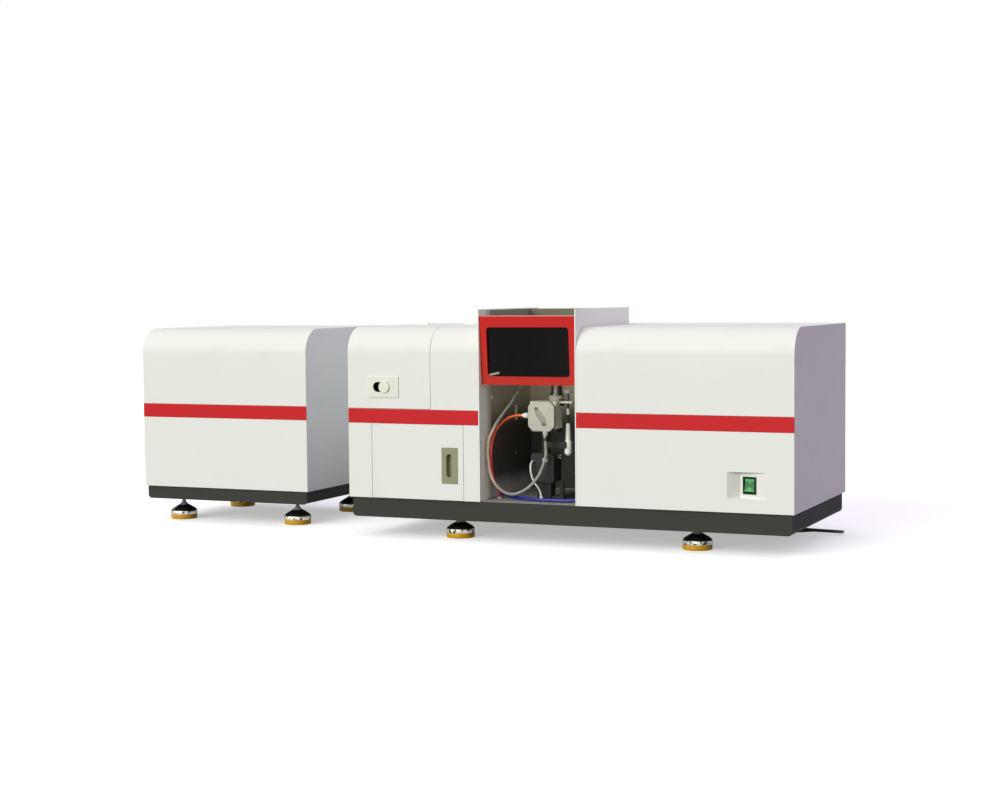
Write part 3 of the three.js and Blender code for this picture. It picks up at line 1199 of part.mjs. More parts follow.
// Board on four posts, with a heat sink and a row of larger parts
function circuitBoard() {
  const left = OPTICS_LEFT + BOARD_LEFT;
  const right = left + BOARD_LENGTH;
  const back = BOARD_FRONT + BOARD_DEPTH;
  const level = CABINET_BOTTOM + BOARD_LIFT;
  const top = level + BOARD_THICK;
  const posts = [[left, BOARD_FRONT], [right, BOARD_FRONT], [left, back], [right, back]].map(([x, y]) =>
    cylinderZ(
      BOARD_POST_RADIUS, CABINET_BOTTOM, level + BOARD_THICK / 2,
      x + Math.sign(left + right - 2 * x) * BOARD_POST_INSET,
      y + Math.sign(BOARD_FRONT + back - 2 * y) * BOARD_POST_INSET));
  const third = BOARD_LENGTH / 3;
  const sink = box(
    left + BOARD_POST_INSET, left + third, BOARD_FRONT + BOARD_POST_INSET * 2,
    back - BOARD_POST_INSET * 2, top - BOARD_THICK / 2, top + BOARD_PART_HEIGHT);
  const chip = box(
    right - third, right - BOARD_POST_INSET * 2, BOARD_FRONT + BOARD_POST_INSET * 2,
    BOARD_FRONT + third, top - BOARD_THICK / 2, top + BOARD_PART_HEIGHT / 2);
  return join(box(left, right, BOARD_FRONT, back, level, top), sink, chip, ...posts);
}

// Transformer: a laminated block with its winding standing out on two sides
function transformer(x, y, bottom, length, depth, height, coil) {
  const core = box(x, x + length, y, y + depth, bottom, bottom + height);
  const winding = box(
    x + coil * 1.5, x + length - coil * 1.5, y - coil, y + depth + coil, bottom + coil, bottom + height - coil);
  return join(core, winding);
}

function vents(left, from, to) {
  return Array.from({ length: VENT_COUNT }, (_, i) => box(
    left, left + VENT_LENGTH, from - OVERRUN, to + OVERRUN,
    VENT_BOTTOM + i * VENT_PITCH, VENT_BOTTOM + i * VENT_PITCH + VENT_HEIGHT));
}

// Rear panel of the spectrometer, with the flange that closes the gap behind the hood
function mainRearPanel() {
  const front = UNIT_DEPTH + GAP;
  const plate = box(0, UNIT_LENGTH, front, REAR_FACE, CABINET_BOTTOM, CABINET_TOP);
  const flange = box(
    hoodLeft, hoodRight, HOOD_DEPTH + GAP, front + SHEET / 2, CABINET_TOP - SHEET, CABINET_TOP);
  const glandHole = cylinderY(
    GLAND_TIP_RADIUS + GAP, front - OVERRUN, REAR_FACE + OVERRUN, GLAND_X, GLAND_Z);
  return cut(
    join(plate, flange), glandHole,
    ...vents(VENT_INSET, front, REAR_FACE),
    ...vents(OPTICS_LEFT + VENT_INSET, front, REAR_FACE),
    ...vents(UNIT_LENGTH - VENT_INSET - VENT_LENGTH, front, REAR_FACE));
}

// Mains lead: gland, free stretch, coil and plug

function cordGland() {
  return turnedAlong([
    [GLAND_TIP_RADIUS, -SHEET - GAP],
    [GLAND_TIP_RADIUS, GAP],
    [GLAND_RADIUS, GAP],
    [GLAND_RADIUS, GLAND_FLANGE],
    [GLAND_TIP_RADIUS, GLAND_LENGTH],
  ], Y_AXIS, GLAND_X, REAR_FACE, GLAND_Z);
}

const glandEnd = REAR_FACE + GLAND_LENGTH + GAP;
const coilOuter = COIL_MID_RADIUS + COIL_PITCH * COIL_TURNS / 4;
const coilStartX = COIL_X;
const coilStartY = COIL_Y - coilOuter;
const coilUpper = CORD_RADIUS + COIL_PITCH;

// Route of the free stretch, from the gland down to the table, round by the right side and back
const CORD_ROUTE = [
  [GLAND_X, glandEnd, GLAND_Z], [GLAND_X, glandEnd + LEAD_IN, GLAND_Z], [861, 515, 117], [864, 533, 103],
  [868, 547, 80], [872, 554, 54], [875, 554, 30], [877, 546, 12], [879, 530, 4.4], [881, 508, 3.7],
  [886, 478, 3.7], [902, 450, 3.7], [926.8, 435.5, 3.7], [954, 427.4, 3.7], [976, 422.8, 3.7],
  [1000.8, 420.2, 3.7], [1014.7, 415.3, 4.2], [1024.4, 404.3, 5.7], [1027.2, 389.9, 7.7],
  [1022.3, 376.1, 9.7], [1011.2, 366.6, 11.1], [996.7, 363.9, 11.6], [979, 365.2, 11.6],
  [965.8, 367, 11], [938, 369, 8], [905, 373, 5], [872, 384, 3.8], [846, 404, 3.6], [832, 432, 3.6],
  [828, 458, 3.6], [819, 479, 3.6], [800, 491, 3.6], [770, 494, 3.6], [735, 492.5, 3.6],
  [coilStartX + 3 * CORD_RADIUS + GAP, coilStartY, CORD_RADIUS],
  [coilStartX + 2 * CORD_RADIUS + GAP, coilStartY, CORD_RADIUS],
];
const CORD_STEPS = 78;

// Coil of the length that is put away: a spiral inwards on the table and outwards again above it.
// Before and after its turns the tube runs straight for one diameter.
function coilPoints() {
  const points = [];
  const total = COIL_TURNS * COIL_STEPS;
  for (let i = 0; i <= total; i += 1) {
    const turns = i / COIL_STEPS;
    const wound = Math.min(turns, COIL_TURNS - turns);
    const radius = coilOuter - COIL_PITCH * wound;
    const climb = THREE.MathUtils.smoothstep(turns, COIL_TURNS / 2 - 0.25, COIL_TURNS / 2 + 0.25);
    const angle = -Math.PI / 2 - 2 * Math.PI * turns;
    points.push([
      COIL_X + radius * Math.cos(angle), COIL_Y + radius * Math.sin(angle),
      CORD_RADIUS + COIL_PITCH * climb]);
  }
  return points;
}

// Rings of a wound tube, each square to the path, joined into one closed surface
function woundTube(points, radius, sides) {
  const places = [];
  const corners = [];
  const count = points.length;
  points.forEach((point, i) => {
    const before = points[Math.max(i - 1, 0)];
    const after = points[Math.min(i + 1, count - 1)];
    const along = new THREE.Vector3(...after).sub(new THREE.Vector3(...before)).normalize();
    const side = new THREE.Vector3(0, 0, 1).cross(along).normalize();
    const up = along.clone().cross(side);
    for (let k = 0; k < sides; k += 1) {
      const angle = 2 * Math.PI * k / sides;
      const place = new THREE.Vector3(...point)
        .addScaledVector(side, radius * Math.cos(angle))
        .addScaledVector(up, radius * Math.sin(angle));
      places.push(place.x, place.y, place.z);
    }
  });
  for (let i = 0; i + 1 < count; i += 1) {
    for (let k = 0; k < sides; k += 1) {
      const next = (k + 1) % sides;
      const [a, b] = [i * sides + k, i * sides + next];
      corners.push(a, b, b + sides, a, b + sides, a + sides);
    }
  }
  const last = (count - 1) * sides;
  for (let k = 1; k + 1 < sides; k += 1) {
    corners.push(0, k + 1, k, last, last + k, last + k + 1);
  }
  const geometry = new THREE.BufferGeometry();
  geometry.setAttribute('position', new THREE.Float32BufferAttribute(places, 3));
  geometry.setIndex(corners);
  return solid(geometry);
}

// Least gap of a wound tube to itself, measured on its middle line
function leastGap(points, radius, stepsApart) {
  let least = Infinity;
  for (let i = 0; i < points.length; i += 1) {
    for (let k = i + stepsApart; k < points.length; k += 1) {
      least = Math.min(least, Math.hypot(...points[i].map((value, axis) => value - points[k][axis])));
    }
  }
  return least - 2 * radius;
}

const coilMiddle = coilPoints();
const coilLine = [
  [coilStartX + 2 * CORD_RADIUS, coilStartY, CORD_RADIUS],
  ...coilMiddle,
  [coilStartX - COIL_TAIL, coilStartY, coilUpper],
];
console.log(`coil: least gap to itself ${leastGap(coilLine, CORD_RADIUS, COIL_STEPS / 2).toFixed(2)} mm`);

// Plug that lies beside the coil, its pins pointing away from the lead
function mainsPlug() {
  const start = coilStartX - COIL_TAIL - GAP;
  const nose = start - PLUG_NOSE_LENGTH;
  const end = nose - PLUG_LENGTH;
  const body = box(
    end, nose, coilStartY - PLUG_WIDTH / 2, coilStartY + PLUG_WIDTH / 2, GAP, GAP + PLUG_HEIGHT);
  const relief = turnedAlong([
    [PLUG_NOSE_RADIUS, 0], [CORD_RADIUS + GAP, PLUG_NOSE_LENGTH],
  ], X_AXIS, nose, coilStartY, coilUpper);
  const pin = (offset) => box(
    end - PLUG_PIN_LENGTH, end + PLUG_PIN_LENGTH, coilStartY + offset - PLUG_PIN_THICK / 2,
    coilStartY + offset + PLUG_PIN_THICK / 2, coilUpper - PLUG_PIN_WIDTH / 2, coilUpper + PLUG_PIN_WIDTH / 2);
  return join(body, relief, pin(-PLUG_PIN_SPREAD / 2), pin(PLUG_PIN_SPREAD / 2));
}

// Spectrometer

const spectrometer = new THREE.Group();
const mainFeet = [
  [FOOT_LEFT_X, FOOT_INSET_Y], [FOOT_RIGHT_X, FOOT_INSET_Y],
  [FOOT_LEFT_X, UNIT_DEPTH - FOOT_INSET_Y], [FOOT_RIGHT_X, UNIT_DEPTH - FOOT_INSET_Y],
];

spectrometer.add(
  mesh('base_tray', baseTray(
    UNIT_LENGTH, UNIT_DEPTH, BASE_INSET, BASE_BOTTOM, BASE_TOP, mainFeet), materials.dark),
  mesh('lamp_housing', lampHousing(), materials.white),
  mesh('lamp_lid', lampLid(), materials.white),
  mesh('latch_plate', latchPlate(), materials.ivory),
  mesh('latch_button', latchButton(), materials.ivory),
  mesh('lamp_stripe', stripe(0, LAMP_LENGTH, STRIPE_BOTTOM), materials.red),
  mesh('gas_door', gasDoor(), materials.white),
  mesh('gas_door_pull', gasDoorPull(), materials.olive),
  mesh('burner_hood', burnerHood(), materials.white),
  mesh('bay_liner', bayLiner(), materials.liner),
  mesh('optics_housing', opticsHousing(), materials.white),
  mesh('optics_stripe', stripe(OPTICS_LEFT, UNIT_LENGTH, STRIPE_BOTTOM), materials.red),
  mesh('main_rear_panel', mainRearPanel(), materials.white),
  mesh('nebuliser_block', nebuliserBlock(), materials.ivory),
  mesh('nebuliser', nebuliser(), materials.steel),
  mesh('spray_chamber', sprayChamber(), materials.olive),
  mesh('drain_trap', drainTrap(), materials.plastic),
  mesh('clamp_knob', clampKnob(), materials.ivory),
  mesh('lift_block', liftBlock(), materials.dark),
  mesh('lift_post', liftPost(), materials.dark),
  mesh('height_knob', heightKnob(), materials.steel),
  mesh('oxidant_hose', hose(OXIDANT_ROUTE, OXIDANT_RADIUS, HOSE_STEPS.oxidant), materials.clear),
  mesh('fuel_hose', hose(FUEL_ROUTE, FUEL_RADIUS, HOSE_STEPS.fuel), materials.orange),
  mesh('air_hose', hose(AIR_ROUTE, AIR_RADIUS, HOSE_STEPS.air), materials.blue),
  mesh('sample_tube', hose(SAMPLE_ROUTE, SAMPLE_RADIUS, HOSE_STEPS.sample), materials.plastic),
  mesh('turret_stand', turretStand(), materials.steel),
  mesh('lamp_lens_tube', lensTube(), materials.black),
  mesh('gas_box', gasBox(), materials.cast),
  mesh('optical_bench', opticalBench(), materials.cast),
  mesh('monochromator', monochromator(), materials.cast),
  mesh('detector', detector(), materials.black),
  mesh('circuit_board', circuitBoard(), materials.board),
  mesh('mains_transformer', transformer(
    OPTICS_LEFT + TRANSFORMER_LEFT, TRANSFORMER_FRONT, CABINET_BOTTOM, TRANSFORMER_LENGTH,
    TRANSFORMER_DEPTH, TRANSFORMER_HEIGHT, TRANSFORMER_COIL), materials.copper),
  mesh('cord_gland', cordGland(), materials.black),
  mesh('mains_cord', tube(CORD_ROUTE, CORD_RADIUS, CORD_SIDES, CORD_STEPS), materials.black),
  mesh('mains_coil', woundTube(coilLine, CORD_RADIUS, COIL_SIDES), materials.black),
  mesh('mains_plug', mainsPlug(), materials.black),
);
addFeet(
  spectrometer, ['foot_front_left', 'foot_front_right', 'foot_rear_left', 'foot_rear_right'],
  mainFeet, BASE_BOTTOM);

const flameDoorGroup = new THREE.Group();
flameDoorGroup.position.set(0, flamePinY, flamePinZ);
flameDoorGroup.rotation.x = THREE.MathUtils.degToRad(FLAME_DOOR_LEAN_DEG);
flameDoorGroup.add(
  mesh('flame_door', flameDoor(), materials.red),
  mesh('flame_door_glass', flameDoorGlass(), materials.glass),
);

const switchGroup = new THREE.Group();
switchGroup.position.set(switchX, switchY, switchZ);
switchGroup.rotation.z = -slopeAngle;
const rocker = mesh('switch_rocker', switchRocker(), materials.green);
rocker.position.y = ROCKER_PIVOT_DEPTH;
rocker.rotation.x = THREE.MathUtils.degToRad(-ROCKER_TILT_DEG);
switchGroup.add(mesh('switch_bezel', switchBezel(), materials.black), rocker);

const headMesh = mesh('burner_head', burnerHead(), materials.steel);
headMesh.position.set(burnerX, BEAM_Y, 0);

const turret = new THREE.Group();
turret.position.set(0, BEAM_Y, turretZ);
turret.add(mesh('lamp_turret', turretBody(), materials.cast));
const lampShape = geometryOf(lamp());
lampAngles.forEach((angle, i) => {
  const made = mesh(`lamp_${i + 1}`, lampShape, materials.glass);
  made.position.set(0, LAMP_PITCH_RADIUS * Math.cos(angle), LAMP_PITCH_RADIUS * Math.sin(angle));
  turret.add(made);
});
spectrometer.add(flameDoorGroup, switchGroup, headMesh, turret);

// Furnace power cabinet

const powerCabinet = new THREE.Group();
const powerFeet = [
  [POWER_FOOT_INSET, POWER_FOOT_INSET], [POWER_LENGTH - POWER_FOOT_INSET, POWER_FOOT_INSET],
  [POWER_FOOT_INSET, POWER_DEPTH - POWER_FOOT_INSET],
  [POWER_LENGTH - POWER_FOOT_INSET, POWER_DEPTH - POWER_FOOT_INSET],
];

function powerRearPanel() {
  const front = POWER_DEPTH + GAP;
  return cut(
    box(0, POWER_LENGTH, front, front + SHEET, POWER_BOTTOM, POWER_TOP),
    ...vents(VENT_INSET, front, front + SHEET),
    ...vents(POWER_LENGTH - VENT_INSET - VENT_LENGTH, front, front + SHEET));
}

powerCabinet.add(
  mesh('power_base_tray', baseTray(
    POWER_LENGTH, POWER_DEPTH, POWER_BASE_INSET, POWER_BASE_BOTTOM, POWER_BOTTOM - GAP, powerFeet),
  materials.dark),
  mesh('power_housing', cut(
    casing(0, POWER_LENGTH, POWER_DEPTH, POWER_BOTTOM, POWER_TOP, POWER_RADIUS),
    stripeRecess(0, POWER_LENGTH, POWER_STRIPE_BOTTOM)), materials.white),
  mesh('power_stripe', stripe(0, POWER_LENGTH, POWER_STRIPE_BOTTOM), materials.red),
  mesh('power_rear_panel', powerRearPanel(), materials.white),
  mesh('furnace_transformer', transformer(
    (POWER_LENGTH - POWER_TRANSFORMER_LENGTH) / 2, (POWER_DEPTH - POWER_TRANSFORMER_DEPTH) / 2,
    POWER_BOTTOM, POWER_TRANSFORMER_LENGTH, POWER_TRANSFORMER_DEPTH, POWER_TRANSFORMER_HEIGHT,
    POWER_TRANSFORMER_COIL), materials.copper),
);
addFeet(
  powerCabinet,
  ['power_foot_front_left', 'power_foot_front_right', 'power_foot_rear_left', 'power_foot_rear_right'],
  powerFeet, POWER_BASE_BOTTOM);

// The set: the middle of its length and depth, without the mains lead, is the origin
const buttonFront = GAP + LATCH_PLATE + GAP + LATCH_BUTTON_THICK;
const setLeft = -POWER_GAP - POWER_LENGTH;
const setBack = Math.max(REAR_FACE, POWER_SET_BACK + POWER_DEPTH + GAP + SHEET);
powerCabinet.position.set(setLeft, POWER_SET_BACK, 0);

const set = new THREE.Group();
set.add(spectrometer, powerCabinet);
set.position.set(-(setLeft + UNIT_LENGTH) / 2, -(setBack - buttonFront) / 2, 0);

const model = new THREE.Group();
model.add(set);
model.updateMatrixWorld(true);

export default model;
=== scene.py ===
"""Looks of the atomic absorption spectrometer and of the power cabinet of its furnace.

Places are millimetres in the spectrometer's own frame: x from its left side, y from its front and
z from the table. place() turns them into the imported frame's metres.
"""
import json
import math

import bmesh
import bpy
import numpy as np
from mathutils import Matrix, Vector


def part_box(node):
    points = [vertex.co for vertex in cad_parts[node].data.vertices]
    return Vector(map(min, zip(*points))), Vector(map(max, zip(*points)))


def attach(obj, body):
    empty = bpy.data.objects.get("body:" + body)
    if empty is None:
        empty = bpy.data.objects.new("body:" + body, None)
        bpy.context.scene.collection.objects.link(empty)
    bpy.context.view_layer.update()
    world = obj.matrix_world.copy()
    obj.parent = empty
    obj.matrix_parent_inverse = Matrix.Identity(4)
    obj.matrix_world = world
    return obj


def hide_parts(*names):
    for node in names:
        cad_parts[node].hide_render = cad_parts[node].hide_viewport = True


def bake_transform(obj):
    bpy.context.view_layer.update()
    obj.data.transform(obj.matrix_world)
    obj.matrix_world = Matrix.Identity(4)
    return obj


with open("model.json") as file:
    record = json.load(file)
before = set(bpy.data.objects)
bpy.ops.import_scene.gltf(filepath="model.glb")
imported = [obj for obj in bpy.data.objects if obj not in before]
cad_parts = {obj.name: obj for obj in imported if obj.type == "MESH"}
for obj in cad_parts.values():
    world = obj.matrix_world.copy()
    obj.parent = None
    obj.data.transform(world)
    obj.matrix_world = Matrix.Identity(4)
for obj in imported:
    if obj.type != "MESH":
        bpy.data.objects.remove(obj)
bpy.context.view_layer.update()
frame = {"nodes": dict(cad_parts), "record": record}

X, Y, Z = np.eye(3)
CORNER = np.array([*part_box("lamp_stripe")[0][:2], 0.0])  # the spectrometer's front left corner, in metres
POWER_CORNER = (np.array([*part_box("power_stripe")[0][:2], 0.0]) - CORNER) * 1000
BAY_LEFT, BAY_RIGHT = 320.0, 548.0
REAR, POWER_REAR = 449.8, 486.8  # the rear panels' outer faces
SHARP = math.radians(32)  # an edge that turns by more than this stays hard or gets a bevel
BODY_OF = {node: body for body, nodes in frame["record"]["behaviour"]["bodies"].items() for node in nodes}


def place(points):
    """Millimetres in the spectrometer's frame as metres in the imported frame."""
    return np.asarray(points, float) / 1000 + CORNER


def shown(name, data):
    """Puts a mesh, a curve, a lamp or a camera into the scene as an object."""
    made = bpy.data.objects.new(name, data)
    bpy.context.scene.collection.objects.link(made)
    return made


# Camera


def photo_camera():
    """Camera of the photograph: forward from yaw and pitch, right and up turned round it by the roll."""
    yaw, pitch, roll = 0.4171, -0.061, -0.0093
    stand = place((1937.8, -3533.3, 549.2))
    level = np.array([math.cos(yaw), math.sin(yaw), 0])
    ahead = np.array([-math.sin(yaw), math.cos(yaw), 0])
    forward = math.cos(pitch) * ahead + math.sin(pitch) * Z
    upright = np.cross(level, forward)
    right = math.cos(roll) * level + math.sin(roll) * upright
    up = math.cos(roll) * upright - math.sin(roll) * level
    lens = bpy.data.cameras.new("photo_camera")
    lens.lens, lens.sensor_width, lens.clip_end = 64.6, 36, 60
    camera = shown("photo_camera", lens)
    turn = np.eye(4)
    turn[:3] = np.column_stack([right, up, -forward, stand])
    camera.matrix_world = Matrix(turn.tolist())
    bpy.context.scene.camera = camera


photo_camera()


# Surfaces


def unit(vectors):
    """Vectors shortened to length one."""
    vectors = np.asarray(vectors, float)
    return vectors / np.linalg.norm(vectors, axis=-1, keepdims=True)


def across(axis):
    """Two directions square to an axis and to each other."""
    side = unit(np.cross(axis, np.eye(3)[np.argmin(np.abs(axis))]))
    return side, np.cross(unit(axis), side)


def skin(rows, joined=False):
    """Closed surface over a grid of points: (i, j) meets (i + 1, j) and (i, j + 1), and j runs round.

    i runs round too when joined; otherwise each end row is closed by a fan to its middle. A row of one
    point is a pole, and its faces are triangles. The faces point out: they are turned about when the
    volume under them, the sum of a . (b x c) / 6 over their triangles, is negative.
    """
    rows = np.asarray(rows, float)
    if not joined:
        rows = np.concatenate([rows[:1].mean(1, keepdims=True).repeat(rows.shape[1], 1), rows,
                               rows[-1:].mean(1, keepdims=True).repeat(rows.shape[1], 1)])
    index = np.arange(rows.shape[0] * rows.shape[1]).reshape(rows.shape[:2])
    pole = np.ptp(rows, axis=1).max(axis=1) < 1e-9
    index[pole] = index[pole][:, :1]
    near = index if joined else index[:-1]
    far = np.roll(index, -1, 0) if joined else index[1:]
    quads = np.stack([near, np.roll(near, -1, 1), np.roll(far, -1, 1), far], -1).reshape(-1, 4)
    from_pole, to_pole = quads[:, 0] == quads[:, 1], quads[:, 2] == quads[:, 3]
    faces = [quads[~from_pole & ~to_pole], quads[from_pole & ~to_pole][:, [0, 2, 3]],
             quads[to_pole & ~from_pole][:, :3]]
    points = rows.reshape(-1, 3)
    triangles = np.concatenate([faces[0][:, :3], faces[0][:, [0, 2, 3]], faces[1], faces[2]])
    a, b, c = (points[triangles] - points.mean(0)).transpose(1, 0, 2)
    if (a * np.cross(b, c)).sum() < 0:
        faces = [face[:, ::-1] for face in faces]
    used, flat = np.unique(np.concatenate([face.ravel() for face in faces]), return_inverse=True)
    cuts = np.cumsum([face.size for face in faces])[:-1]
    return points[used], [part.reshape(face.shape) for part, face in zip(np.split(flat, cuts), faces)]


def turned(profile, base, axis, sides):
    """Surface of revolution: base + along * axis + radius * (cos a, sin a), for each (radius, along).

    A radius is a number, or one value for each angle a.
    """
    side, other = across(axis)
    angle = angles(sides)
    round_it = np.cos(angle)[:, None] * side + np.sin(angle)[:, None] * other
    radius = np.array([np.broadcast_to(r, sides) for r, _ in profile])
    along = np.array([a for _, a in profile], float)
    return skin(np.asarray(base, float) + along[:, None, None] * unit(axis) + radius[..., None] * round_it)


def angles(sides):
    """Evenly spaced angles round a circle."""
    return np.arange(sides) * 2 * math.pi / sides


def hexagon(width, sides=24):
    """Distance from the middle of a hexagon to its edge: half its width / cos(angle from the flat)."""
    return width / 2 / np.cos((angles(sides) + math.pi / 6) % (math.pi / 3) - math.pi / 6)


def knurled(radius, depth, teeth, sides):
    """Radius with straight knurling: radius less depth times a raised cosine of the angle."""
    return radius - depth * (0.5 - 0.5 * np.cos(teeth * angles(sides)))


def thread(radius, low, high, pitch, depth, sides=24):
    """Profile of a screw thread: the radius falls and rises by depth once per pitch, one pitch per turn."""
    along = np.arange(low, high, pitch / 5)
    phase = (along[:, None] / pitch - angles(sides) / (2 * math.pi)) % 1
    return list(zip(radius - depth * np.abs(2 * phase - 1), along))


def rounded(width, height, radius, steps=5):
    """Rectangle with quarter-circle corners: the corner's centre plus radius * (cos a, sin a)."""
    angle = np.linspace(0, math.pi / 2, steps + 1) + np.arange(4)[:, None] * math.pi / 2
    centre = np.array([[1, 1], [-1, 1], [-1, -1], [1, -1]]) * [width / 2 - radius, height / 2 - radius]
    return (centre[:, None] + radius * np.stack([np.cos(angle), np.sin(angle)], -1)).reshape(-1, 2)


def filleted(corners, radius, steps=4):
    """Polygon with each corner swept by an arc that touches its two sides."""
    corners = np.asarray(corners, float)
    back, on = unit(np.roll(corners, 1, 0) - corners), unit(np.roll(corners, -1, 0) - corners)
    half = np.arccos((back * on).sum(1))[:, None] / 2
    centre = corners + unit(back + on) * radius / np.sin(half)
    first = corners + back * radius / np.tan(half) - centre
    last = corners + on * radius / np.tan(half) - centre
    share, swing = np.linspace(0, 1, steps + 1)[None, :, None], (math.pi - 2 * half)[:, None]
    arc = np.sin((1 - share) * swing) * first[:, None] + np.sin(share * swing) * last[:, None]
    return (centre[:, None] + arc / np.sin(swing)).reshape(-1, 2)


def inset(shape, depth):
    """Outline moved inwards, its straight sides parallel: back along the mitre of both normals."""
    sides = unit(np.roll(shape, -1, 0) - shape)
    after = np.column_stack([sides[:, 1], -sides[:, 0]])
    before = np.roll(after, 1, 0)
    return shape - depth * (before + after) / (1 + (before * after).sum(1, keepdims=True))


def rim(edge, near, far, steps):
    """Profile (inset, depth) of a plate from near to far whose two rims are quarter circles."""
    turn = np.linspace(0, math.pi / 2, steps + 1)
    inward, onward = edge * (1 - np.sin(turn)), edge * (1 - np.cos(turn))
    return list(zip(inward, near + onward)) + list(zip(inward[::-1], far - onward[::-1]))


def plate(shape, base, right, up, near, far, edge, steps=3):
    """Plate with rounded rims: the outline in right and up, carried from near to far along right x up."""
    out = np.cross(right, up)
    section = rim(edge, near, far, steps)
    rows = [inset(shape, inward) @ np.array([right, up]) + depth * out for inward, depth in section]
    return skin(np.asarray(base, float) + np.array(rows))


def hoop(centre, axis, radius, thick, sides=40):
    """Ring: centre + (radius + thick * cos b) * out(a) + thick * sin b * axis, with out(a) round the axis."""
    side, other = across(axis)
    a, b = angles(sides)[:, None, None], angles(10)[None, :, None]
    out = np.cos(a) * side + np.sin(a) * other
    rows = np.asarray(centre, float) + (radius + thick * np.cos(b)) * out + thick * np.sin(b) * unit(axis)
    return skin(rows, joined=True)


def turnings(base, axis, *parts):
    """Turned shells on one axis, from (profile, sides, finish) triples."""
    return [(turned(profile, base, axis, sides), finish) for profile, sides, finish in parts]


def hex_screw(centre, axis, radius, height):
    """Cap screw: a low cylinder with a soft rim and a hexagonal socket in its face."""
    socket = hexagon(radius)
    return turned([(radius, 0), (radius, height - 0.3), (radius - 0.3, height), (socket, height),
                   (socket, height * 0.35)], centre, axis, 24)


def pan_screw(centre, axis, radius):
    """Pan-head screw: an elliptic dome, height = radius / 2 * sqrt(1 - 0.96 share^2), with a small socket.

    share is the distance from the axis over the radius.
    """
    shares = np.linspace(1, 0.42, 5)
    dome = [(share * radius, radius / 2 * math.sqrt(1 - 0.96 * share ** 2)) for share in shares]
    socket = hexagon(radius * 0.72)
    return turned([(radius, 0), *dome, (socket, dome[-1][1]), (socket, 0.25)], centre, axis, 24)


def smooth_path(points, steps=6):
    """Centripetal curve through the points.

    Each span is a cubic. Its end slopes weigh the chords before and after by the square roots of their
    lengths, and the two ends are carried on straight.
    """
    points = np.asarray(points, float)
    held = np.vstack([2 * points[0] - points[1], points, 2 * points[-1] - points[-2]])
    root = np.linalg.norm(np.diff(held, axis=0), axis=1)[:, None] ** 0.5
    before, here, after = root[:-2], root[1:-1], root[2:]
    a, b, c, d = held[:-3], held[1:-2], held[2:-1], held[3:]
    leave = ((b - a) / before - (c - a) / (before + here) + (c - b) / here) * here
    arrive = ((c - b) / here - (d - b) / (here + after) + (d - c) / after) * here
    t = (np.arange(steps) / steps)[None, :, None]
    b, c, leave, arrive = (v[:, None] for v in (b, c, leave, arrive))
    spans = b + leave * t + (3 * (c - b) - 2 * leave - arrive) * t**2 + (2 * (b - c) + leave + arrive) * t**3
    return np.vstack([spans.reshape(-1, 3), points[-1]])


# Pieces


def keep(mesh_object, name_of_body, replaced=()):
    """Hands a finished piece to the frame: its body and the CAD nodes it stands for."""
    if name_of_body:
        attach(mesh_object, name_of_body)
    if replaced:
        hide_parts(*replaced)
    return mesh_object


def piece(name, shells, body, replaced=()):
    """One object from (surface, finish) pairs: their points and faces are stacked end to end."""
    points, faces, finish_of, finishes = [], [], [], []
    count = 0
    for (corners, parts), finish in shells:
        if finish not in finishes:
            finishes.append(finish)
        for part in parts:
            faces += (part + count).tolist()
            finish_of += [finishes.index(finish)] * len(part)
        points.append(place(corners))
        count += len(corners)
    mesh = bpy.data.meshes.new(name)
    mesh.from_pydata(np.concatenate(points).tolist(), [], faces)
    for finish in finishes:
        mesh.materials.append(finish.material)
    mesh.polygons.foreach_set("material_index", np.array(finish_of, np.int32))
    mesh.shade_smooth()
    mesh.set_sharp_from_angle(angle=SHARP)
    return keep(shown(name, mesh), body, replaced)


def stand_in(node, shells):
    """Piece that takes the place of a CAD node, with its body."""
    return piece(node + "_skin", shells, BODY_OF[node], [node])


